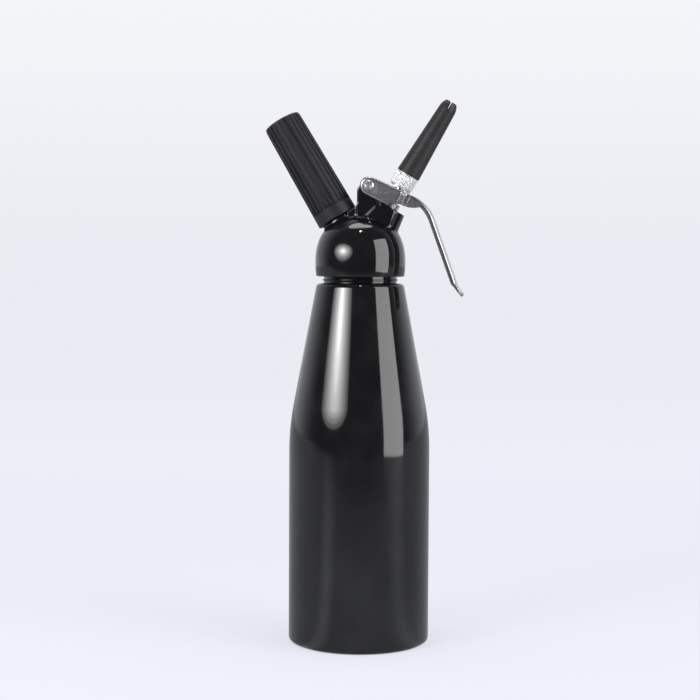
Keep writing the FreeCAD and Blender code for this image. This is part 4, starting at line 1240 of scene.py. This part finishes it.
@dataclass
class Nozzle:
    """Gland, stem and adapter on the valve's axis, with the knurled collar and the decorating tip.

    Attributes:
        knurl_count: ridges of the straight knurl.
        knurl_radius: radius over the ridges.
        knurl_depth: how deep the knurl is cut.
        knurl_share: how much of its pitch a ridge takes up.
        collar_low: lower end of the collar along the valve's axis.
        collar_high: upper end of the collar.
        tip_voxel: grid step of the tip's surface.
        tip_passes: rounds of smoothing that ease its edges.
    """

    knurl_count: int = 36
    knurl_radius: float = 7.0
    knurl_depth: float = 0.3
    knurl_share: float = 0.74
    collar_low: float = 46.8
    collar_high: float = 55.5
    tip_voxel: float = 0.28
    tip_passes: int = 8
    gland_metal: TurnedMetal = TurnedMetal("gland_metal", (0.83, 0.84, 0.86), VALVE_AXIS, gloss=0.22)
    stem_steel: TurnedMetal = TurnedMetal("stem_steel", GREY_STEEL, VALVE_AXIS, gloss=0.14)
    collar_metal: TurnedMetal = TurnedMetal("collar_metal", (0.9, 0.905, 0.92), VALVE_AXIS, gloss=0.42)
    tip_plastic: Moulding = Moulding("tip_plastic", (0.012, 0.012, 0.0125), satin=0.46, grain=0.0008)

    def ridge(self) -> bmesh.types.BMesh:
        """One ridge of the knurl, run out at both ends."""
        low, high, root = self.collar_low, self.collar_high, self.knurl_radius - self.knurl_depth
        half = math.pi * self.knurl_radius / self.knurl_count * self.knurl_share
        outlines = []
        for height, fullness in ((low + 0.2, 0.25), (low + 0.75, 1.0), (high - 1.25, 1.0), (high - 0.8, 0.8)):
            crest = root + (self.knurl_radius - root) * fullness
            flank = [(root - 0.2, half), (root + 0.02, half * 0.92), (crest - 0.04, half * 0.5)]
            section = [(r, -y) for r, y in flank] + [(crest, 0.0)] + flank[::-1]
            outlines.append([(r, y, height) for r, y in section])
        return loft(outlines)

    def collar(self) -> None:
        """Makes the collar and its knurl."""
        low, high, root = self.collar_low, self.collar_high, self.knurl_radius - self.knurl_depth
        lip, bore, seat, seat_low = self.knurl_radius - 0.05, 5.1, 6.0, 53.1
        ring = [
            (bore, low, 0.2), (root, low, 0.25), (root, low + 0.5, 0.1), (root, high - 0.9, 0.1),
            (lip, high - 0.75, 0.25), (lip, high, 0.3), (seat, high, 0.15), (seat, seat_low, 0.1),
            (bore, seat_low, 0.1),
        ]
        stock = Stock(self.collar_metal.make(), Body.NOZZLE, Slot.BARE_ALUMINIUM, VALVE_AXIS)
        stock.turned("collar_ring", ring, "tip_collar", segments=88)
        stock.repeated("collar_knurl", self.ridge(), self.knurl_count)

    def valve_metal(self) -> None:
        """Makes the gland in the boss, and the stem and adapter that move through it."""
        metal = self.gland_metal.make()
        gland = [
            (3.15, 31.2, 0.2), (5.2, 31.2, 0.3), (5.2, 33.4, 0.1),
            (5.8, 33.4, 0.15), (5.8, 36.6, 0.5), (3.15, 36.6, 0.35),
        ]
        still = Stock(metal, Body.HEAD, Slot.BARE_ALUMINIUM, VALVE_AXIS)
        still.turned("gland_bush", gland, "valve_gland")
        stem = [
            (0.0, 13.4, 0.0), (3.1, 13.4, 0.3), (3.1, 28.4, 0.1), (4.4, 28.4, 0.2), (4.4, 29.4, 0.2),
            (3.1, 29.4, 0.1), (3.1, 40.9, 0.15), (5.8, 40.9, 0.35), (5.8, 42.5, 0.35), (3.1, 42.5, 0.15),
            (3.1, 52.5, 0.2), (1.9, 52.5, 0.2), (1.9, 17.0, 0.3), (0.0, 17.0, 0.0),
        ]
        steel = Stock(self.stem_steel.make(), Body.VALVE, Slot.STEEL, VALVE_AXIS)
        steel.turned("stem_rod", stem, "valve_stem")
        adapter = [
            (3.1, 46.0, 0.1), (6.9, 46.0, 0.15), (6.9, 46.6, 0.15),
            (4.7, 46.6, 0.1), (4.7, 53.0, 0.35), (3.1, 53.0, 0.1),
        ]
        moving = Stock(metal, Body.VALVE, Slot.BARE_ALUMINIUM, VALVE_AXIS)
        moving.turned("adapter_spigot", adapter, "tip_adapter")
        moving.thread("spigot_thread", radius=4.66, low=47.2, high=52.4, pitch=1.0, depth=0.32)

    def build(self) -> None:
        """Makes everything on the valve's axis."""
        self.valve_metal()
        self.collar()
        tip = softened("decorating_tip", "tip_moulding", self.tip_voxel, self.tip_passes)
        Stock(self.tip_plastic.make(), Body.NOZZLE, Slot.DARK_PLASTIC).finish(tip, "decorating_tip")


@dataclass
class Lever:
    """The folded steel lever and the headed pin that it swings on.

    Attributes:
        voxel: grid step of the lever's surface.
        passes: rounds of smoothing that ease its edges.
        reach: half of the pin's length between the cheeks' outer faces.
        web_slope: slope of the web, in degrees.
        cheek_half: half width over the cheeks.
        arm_half: half width of the arm.
        cheek_end: where the cheeks start to step in, from the pin along the web.
        packed_taper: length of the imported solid's plain taper.
        joggle: length of the real, pressed step.
    """

    steel: PolishedSheet = PolishedSheet("lever_steel")
    pin_metal: TurnedMetal = TurnedMetal("pin_metal", (0.62, 0.62, 0.64), PIN_AXIS)
    voxel: float = 0.25
    passes: int = 5
    reach: float = 12.5
    web_slope: float = 24.9
    cheek_half: float = 12.4
    arm_half: float = 7.5
    cheek_end: float = 19.0
    packed_taper: float = 6.0
    joggle: float = 3.6

    def press_joggle(self, data: bpy.types.Mesh) -> None:
        """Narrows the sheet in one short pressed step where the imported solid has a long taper.

        Args:
            data: the lever's dense mesh.
        """
        slope, fall = math.radians(self.web_slope), self.cheek_half - self.arm_half
        for vertex in data.vertices:
            x, z = vertex.co.x / MM - PIN_AXIS.side, vertex.co.z / MM - PIN_AXIS.base
            past = x * math.cos(slope) - z * math.sin(slope) - self.cheek_end
            if not 0.0 < past < self.packed_taper:
                continue
            step = min(1.0, past / self.joggle)
            packed = self.cheek_half - fall * past / self.packed_taper
            pressed = self.cheek_half - fall * step * step * (3.0 - 2.0 * step)
            vertex.co.y *= pressed / packed

    def build(self) -> None:
        """Makes the lever and its pin."""
        lever = softened("lever", "lever_sheet", self.voxel, self.passes)
        self.press_joggle(lever.data)
        Stock(self.steel.make(), Body.LEVER, Slot.POLISHED_STEEL).finish(lever, "lever")
        low, high = -self.reach, self.reach
        pin = [
            (0.0, low - 0.55, 0.0), (1.5, low - 0.55, 0.12), (1.75, low - 1.1, 0.2), (2.5, low - 1.1, 0.3),
            (3.2, low - 0.5, 0.35), (3.2, low, 0.1), (2.5, low, 0.1), (2.5, high, 0.1), (2.1, high, 0.05),
            (2.1, high + 0.7, 0.05), (2.5, high + 0.7, 0.1), (2.5, high + 1.8, 0.4), (0.0, high + 1.8, 0.0),
        ]
        stock = Stock(self.pin_metal.make(), Body.HEAD, Slot.POLISHED_STEEL, PIN_AXIS)
        stock.turned("pin_rod", pin, "lever_pin", segments=64)


def fitting_finishes() -> dict[str, Finish]:
    """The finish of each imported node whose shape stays."""
    return {
        "head_gasket": Elastomer("gasket_silicone", (0.78, 0.78, 0.75), 0.5),
        "tip_seal": Elastomer("tip_seal_rubber"),
        "charger_seal": Elastomer("charger_seal_rubber"),
        "check_valve_sleeve": Elastomer("sleeve_rubber", (0.02, 0.02, 0.02)),
        "valve_o_ring": Elastomer("o_ring_rubber"),
        "poppet_seal": Elastomer("poppet_rubber", (0.02, 0.02, 0.02)),
        "inlet_valve_body": TurnedMetal("inlet_steel", GREY_STEEL, CHARGER_AXIS),
        "piercing_needle": TurnedMetal("needle_steel", GREY_STEEL, CHARGER_AXIS, gloss=0.12),
        "valve_poppet": TurnedMetal("poppet_steel", GREY_STEEL, VALVE_AXIS),
        "o_ring_washer": TurnedMetal("washer_steel", GREY_STEEL, VALVE_AXIS),
        "valve_spring": TurnedMetal("spring_steel", (0.52, 0.52, 0.54), VALVE_AXIS, gloss=0.25),
        "pin_retaining_ring": TurnedMetal("ring_steel", (0.5, 0.5, 0.52), PIN_AXIS, gloss=0.22),
    }


@dataclass
class Fittings:
    """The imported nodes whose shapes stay, and the finish that each gets."""

    finishes: dict[str, Finish] = field(default_factory=fitting_finishes)

    def build(self) -> None:
        """Dresses each node that stays."""
        for node, finish in self.finishes.items():
            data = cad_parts[node].data
            data.materials.clear()
            data.materials.append(finish.make())
            log.info("%s keeps its shape", node)


# The studio


@dataclass(frozen=True)
class Lamp:
    """A soft lamp given by where it is seen from the bottle.

    Attributes:
        name: the lamp's name.
        azimuth: degrees from the camera's side, positive to the camera's right.
        elevation: degrees above the level.
        distance: metres from the bottle.
        size: width and height in metres.
        watts: power.
        mirrored: whether reflections show it.
        lights: whether it lights matt surfaces.
        round_shape: a disc in place of a rectangle.
        roll: turn about the line from the bottle, in degrees.
        feather: number of nested panels that soften its edge.
        shrink: how much smaller than the first the last panel is.
        gap: metres between panels.
    """

    name: str
    azimuth: float
    elevation: float
    distance: float
    size: tuple[float, float]
    watts: float
    mirrored: bool = True
    lights: bool = True
    round_shape: bool = False
    roll: float = 0.0
    feather: int = 1
    shrink: float = 0.86
    gap: float = 0.002

    def build(self, aim: Vector, camera_side: float) -> None:
        """Hangs the lamp, as nested panels where its edge is soft.

        Args:
            aim: what it points at.
            camera_side: azimuth of the camera about +Z, in degrees from -Y.
        """
        turn, rise = math.radians(camera_side + self.azimuth), math.radians(self.elevation)
        way = Vector((math.sin(turn) * math.cos(rise), -math.cos(turn) * math.cos(rise), math.sin(rise)))
        facing = way.to_track_quat("Z", "Y").to_matrix().to_4x4()
        rolled = Matrix.Rotation(math.radians(self.roll), 4, "Z")
        stand = Matrix.Translation(aim + way * self.distance) @ facing @ rolled
        scales = [1.0 - self.shrink * panel / max(1, self.feather - 1) for panel in range(self.feather)]
        for panel, scale in enumerate(scales):
            data = bpy.data.lights.new(f"{self.name}_{panel}", "AREA")
            data.shape = "ELLIPSE" if self.round_shape else "RECTANGLE"
            data.size, data.size_y = self.size[0] * scale, self.size[1] * scale
            data.energy = self.watts / sum(scales) * scale
            lamp = placed(data.name, data)
            lamp.matrix_world = stand @ Matrix.Translation((0.0, 0.0, -self.gap * panel))
            lamp.visible_camera = False
            lamp.visible_glossy = self.mirrored
            lamp.visible_diffuse = self.lights


@dataclass
class Studio:
    """Camera, pale floor, and soft light.

    Attributes:
        distance: camera to the bottle's axis.
        height: camera's height.
        pitch: how far it looks down, in degrees.
        roll: its roll, in degrees.
        yaw: how far it looks off the axis, in degrees.
        azimuth: turn of the whole view about the bottle, in degrees.
        lens: focal length in millimetres.
        sensor: the sensor's width in millimetres.
        near_clip: what is nearer than this isn't seen.
        aim_height: height that the lamps point at.
        backdrop: what the camera sees at the level of the eye.
        backdrop_top: what it sees at the top of the picture.
        soft_strength: strength of the light from all round.
        table: what the camera sees of the table top near the bottle.
        table_half: half of the table's width.
        table_front: its front edge, from the bottle's axis.
        table_back: its back edge.
        table_drop: how far it lies below the bottle's foot.
        table_paint: its colour where it takes shadows.
        painted_reflection_far: painted glow that reflections see of the table far in front of the bottle,
            darker.
        painted_reflection_near: painted glow that they see of it near the bottle, lighter, as painted lamp
            light.
        shadow: how much of the shadows the camera sees.
        painted_sheen: colour of the painted lamp sheens on the table top, seen only in reflections.
        painted_sheens: bearing, half width in degrees and strength of those painted sheens.
    """

    distance: float = 1.0
    height: float = 0.2353
    pitch: float = 3.35
    roll: float = 0.3
    yaw: float = -0.341
    azimuth: float = 7.0
    lens: float = 85.24
    sensor: float = 36.0
    near_clip: float = 0.05
    aim_height: float = 0.18
    backdrop: Colour = (0.828, 0.832, 0.892)
    backdrop_top: Colour = (0.905, 0.91, 0.945)
    soft_strength: float = 0.55
    table: Colour = (0.86, 0.865, 0.965)
    table_half: float = 4.0
    table_front: float = -0.92
    table_back: float = 7.0
    table_drop: float = 0.0001
    table_paint: Colour = (0.72, 0.74, 0.79)
    # Painted reflection of the table: a darker painted glow far in front, a lighter one near the bottle.
    painted_reflection_far: Colour = (0.14, 0.14, 0.15)
    painted_reflection_near: Colour = (0.45, 0.46, 0.49)
    shadow: float = 0.3
    # Painted lamp sheens on the table, seen only in reflections.
    painted_sheen: Colour = (0.95, 0.97, 1.0)
    painted_sheens: tuple[tuple[float, float, float], ...] = ((-49.0, 16.0, 0.75), (62.0, 20.0, 0.5))

    def camera(self) -> None:
        """Sets the camera at the photograph's place."""
        p, y, r = (math.radians(v) for v in (self.pitch, self.yaw, self.roll))
        ahead = Vector((math.sin(y) * math.cos(p), math.cos(y) * math.cos(p), -math.sin(p)))
        right = Vector((math.cos(y), -math.sin(y), 0.0))
        up = right.cross(ahead)
        across = math.cos(r) * right + math.sin(r) * up
        above = -math.sin(r) * right + math.cos(r) * up
        axes = Matrix((across, above, -ahead)).transposed().to_4x4()
        turn = Matrix.Rotation(math.radians(self.azimuth), 4, "Z")
        data = bpy.data.cameras.new("view")
        data.lens, data.sensor_width = self.lens, self.sensor
        data.clip_start = self.near_clip
        camera = placed("view", data)
        camera.matrix_world = turn @ Matrix.Translation((0.0, -self.distance, self.height)) @ axes
        bpy.context.scene.camera = camera

    def seen(self, sheet: Sheet) -> Wire:
        """1 for a ray that shows the backdrop: from the camera, a reflection or a transmission."""
        glossy, through = sheet.ray("Is Glossy Ray"), sheet.ray("Is Transmission Ray")
        return sheet.ray("Is Camera Ray").most(glossy).most(through)

    def world(self) -> None:
        """Pale all round for the camera, with a darker camera side in reflections."""
        world = bpy.data.worlds.new("studio")
        bpy.context.scene.world = world
        world.use_nodes = True
        tree = world.node_tree
        tree.nodes.clear()
        sheet = Sheet(tree)
        way = sheet.place("Generated")
        turn = math.radians(self.azimuth)
        behind = sheet.vector("DOT_PRODUCT", way, (-math.sin(turn), math.cos(turn), 0.0), out=1)
        height = sheet.parts(way)[2]
        room = behind.step(-0.2, 0.6) * (0.8 - height.step(0.1, 0.9) * 0.25) + 0.08
        mirrored = sheet.mix(room, (0.0, 0.0, 0.0), COOL_WHITE)
        direct = sheet.mix(height.step(-0.02, 0.16), self.backdrop, self.backdrop_top)
        shown = sheet.mix(sheet.ray("Is Camera Ray"), mirrored, direct)
        pale = sheet.node("ShaderNodeBackground", {"Color": shown, "Strength": 1.0})
        soft = sheet.node("ShaderNodeBackground", [(*COOL_WHITE, 1.0), self.soft_strength])
        both = sheet.node("ShaderNodeMixShader", [self.seen(sheet), soft, pale])
        sheet.feed(both, tree.nodes.new("ShaderNodeOutputWorld").inputs[0])

    def table_material(self) -> bpy.types.Material:
        """The table top's material: matt where shadows fall, lit of itself in the camera's eyes, and a
        painted glow with painted lamp sheens in reflections.
        """
        material, sheet, output = new_material("table_top")
        x, y, _z = sheet.parts(sheet.place())
        turn = math.radians(self.azimuth)
        camera = sheet.ray("Is Camera Ray")
        ahead = y * math.cos(turn) - x * math.sin(turn)
        aside = x * math.cos(turn) + y * math.sin(turn)
        bearing = aside.math("ARCTAN2", -ahead)
        # Reflections see a painted glow of the table: darker far in front, lighter near the bottle as painted
        # lamp light.
        near = ahead.step(-0.9, -0.15)
        mirrored = sheet.mix(near, self.painted_reflection_far, self.painted_reflection_near)
        # Painted sheens of the lamps: bright bands at the lamps' bearings near the bottle.
        for heading, width, strength in self.painted_sheens:
            off = (bearing - math.radians(heading)).size()
            band = (1.0 - off.step(0.0, math.radians(width))) * near * strength
            mirrored = sheet.mix(band, mirrored, self.painted_sheen)
        shown = sheet.mix(camera, mirrored, sheet.mix(ahead.step(0.0, 2.2), self.table, self.backdrop))
        glow = sheet.node("ShaderNodeEmission", {"Color": shown, "Strength": 1.0})
        plain = sheet.node("ShaderNodeBsdfDiffuse", {"Color": (*self.table_paint, 1.0)})
        kept = self.seen(sheet) * (1.0 - camera * (1.0 - ahead.step(0.1, 0.9)) * self.shadow)
        sheet.feed(sheet.node("ShaderNodeMixShader", [kept, plain, glow]), output.inputs[0])
        return material

    def floor(self) -> None:
        """A pale table top that takes a faint shadow and ends in front of the bottle."""
        turn = Matrix.Rotation(math.radians(self.azimuth), 4, "Z")
        half, front, back = self.table_half, self.table_front, self.table_back
        corners = [(-half, front), (half, front), (half, back), (-half, back)]
        data = bpy.data.meshes.new("table_top")
        points = [tuple(turn @ Vector((x, y, -self.table_drop))) for x, y in corners]
        data.from_pydata(points, [], [(0, 1, 2, 3)])
        data.materials.append(self.table_material())
        placed("table_top", data)

    def build(self) -> None:
        """Sets up camera, world, floor and lamps."""
        self.camera()
        self.world()
        self.floor()
        lamps = [
            Lamp("left_umbrella", -46.0, 17.5, 1.3, (1.18, 0.66), 11.0, round_shape=True, feather=6),
            Lamp("right_softbox", 58.5, 12.0, 1.0, (0.66, 1.12), 10.2, lights=False, roll=-5.0),
            Lamp("right_fill", 60.0, 35.0, 1.6, (0.9, 0.9), 12.0, mirrored=False),
            Lamp("overhead", 10.0, 94.0, 1.3, (0.9, 0.5), 5.0, round_shape=True),
            Lamp("crown_spark", 0.0, 71.0, 1.4, (0.09, 0.09), 1.2, round_shape=True, lights=False),
        ]
        for lamp in lamps:
            lamp.build(Vector((0.0, 0.0, self.aim_height)), self.azimuth)
        bpy.context.scene.view_settings.view_transform = "Standard"
        log.info("studio: %d lamps", len(lamps))


def main() -> None:
    """Builds the dispenser's sub-assemblies in order, then the studio."""
    logging.basicConfig(level=logging.INFO, format="%(message)s")
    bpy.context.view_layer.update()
    for part in (Bottle(), Head(), ChargerHolder(), GasCharger(), Nozzle(), Lever(), Fittings(), Studio()):
        part.build()


if __name__ == "__main__":
    main()
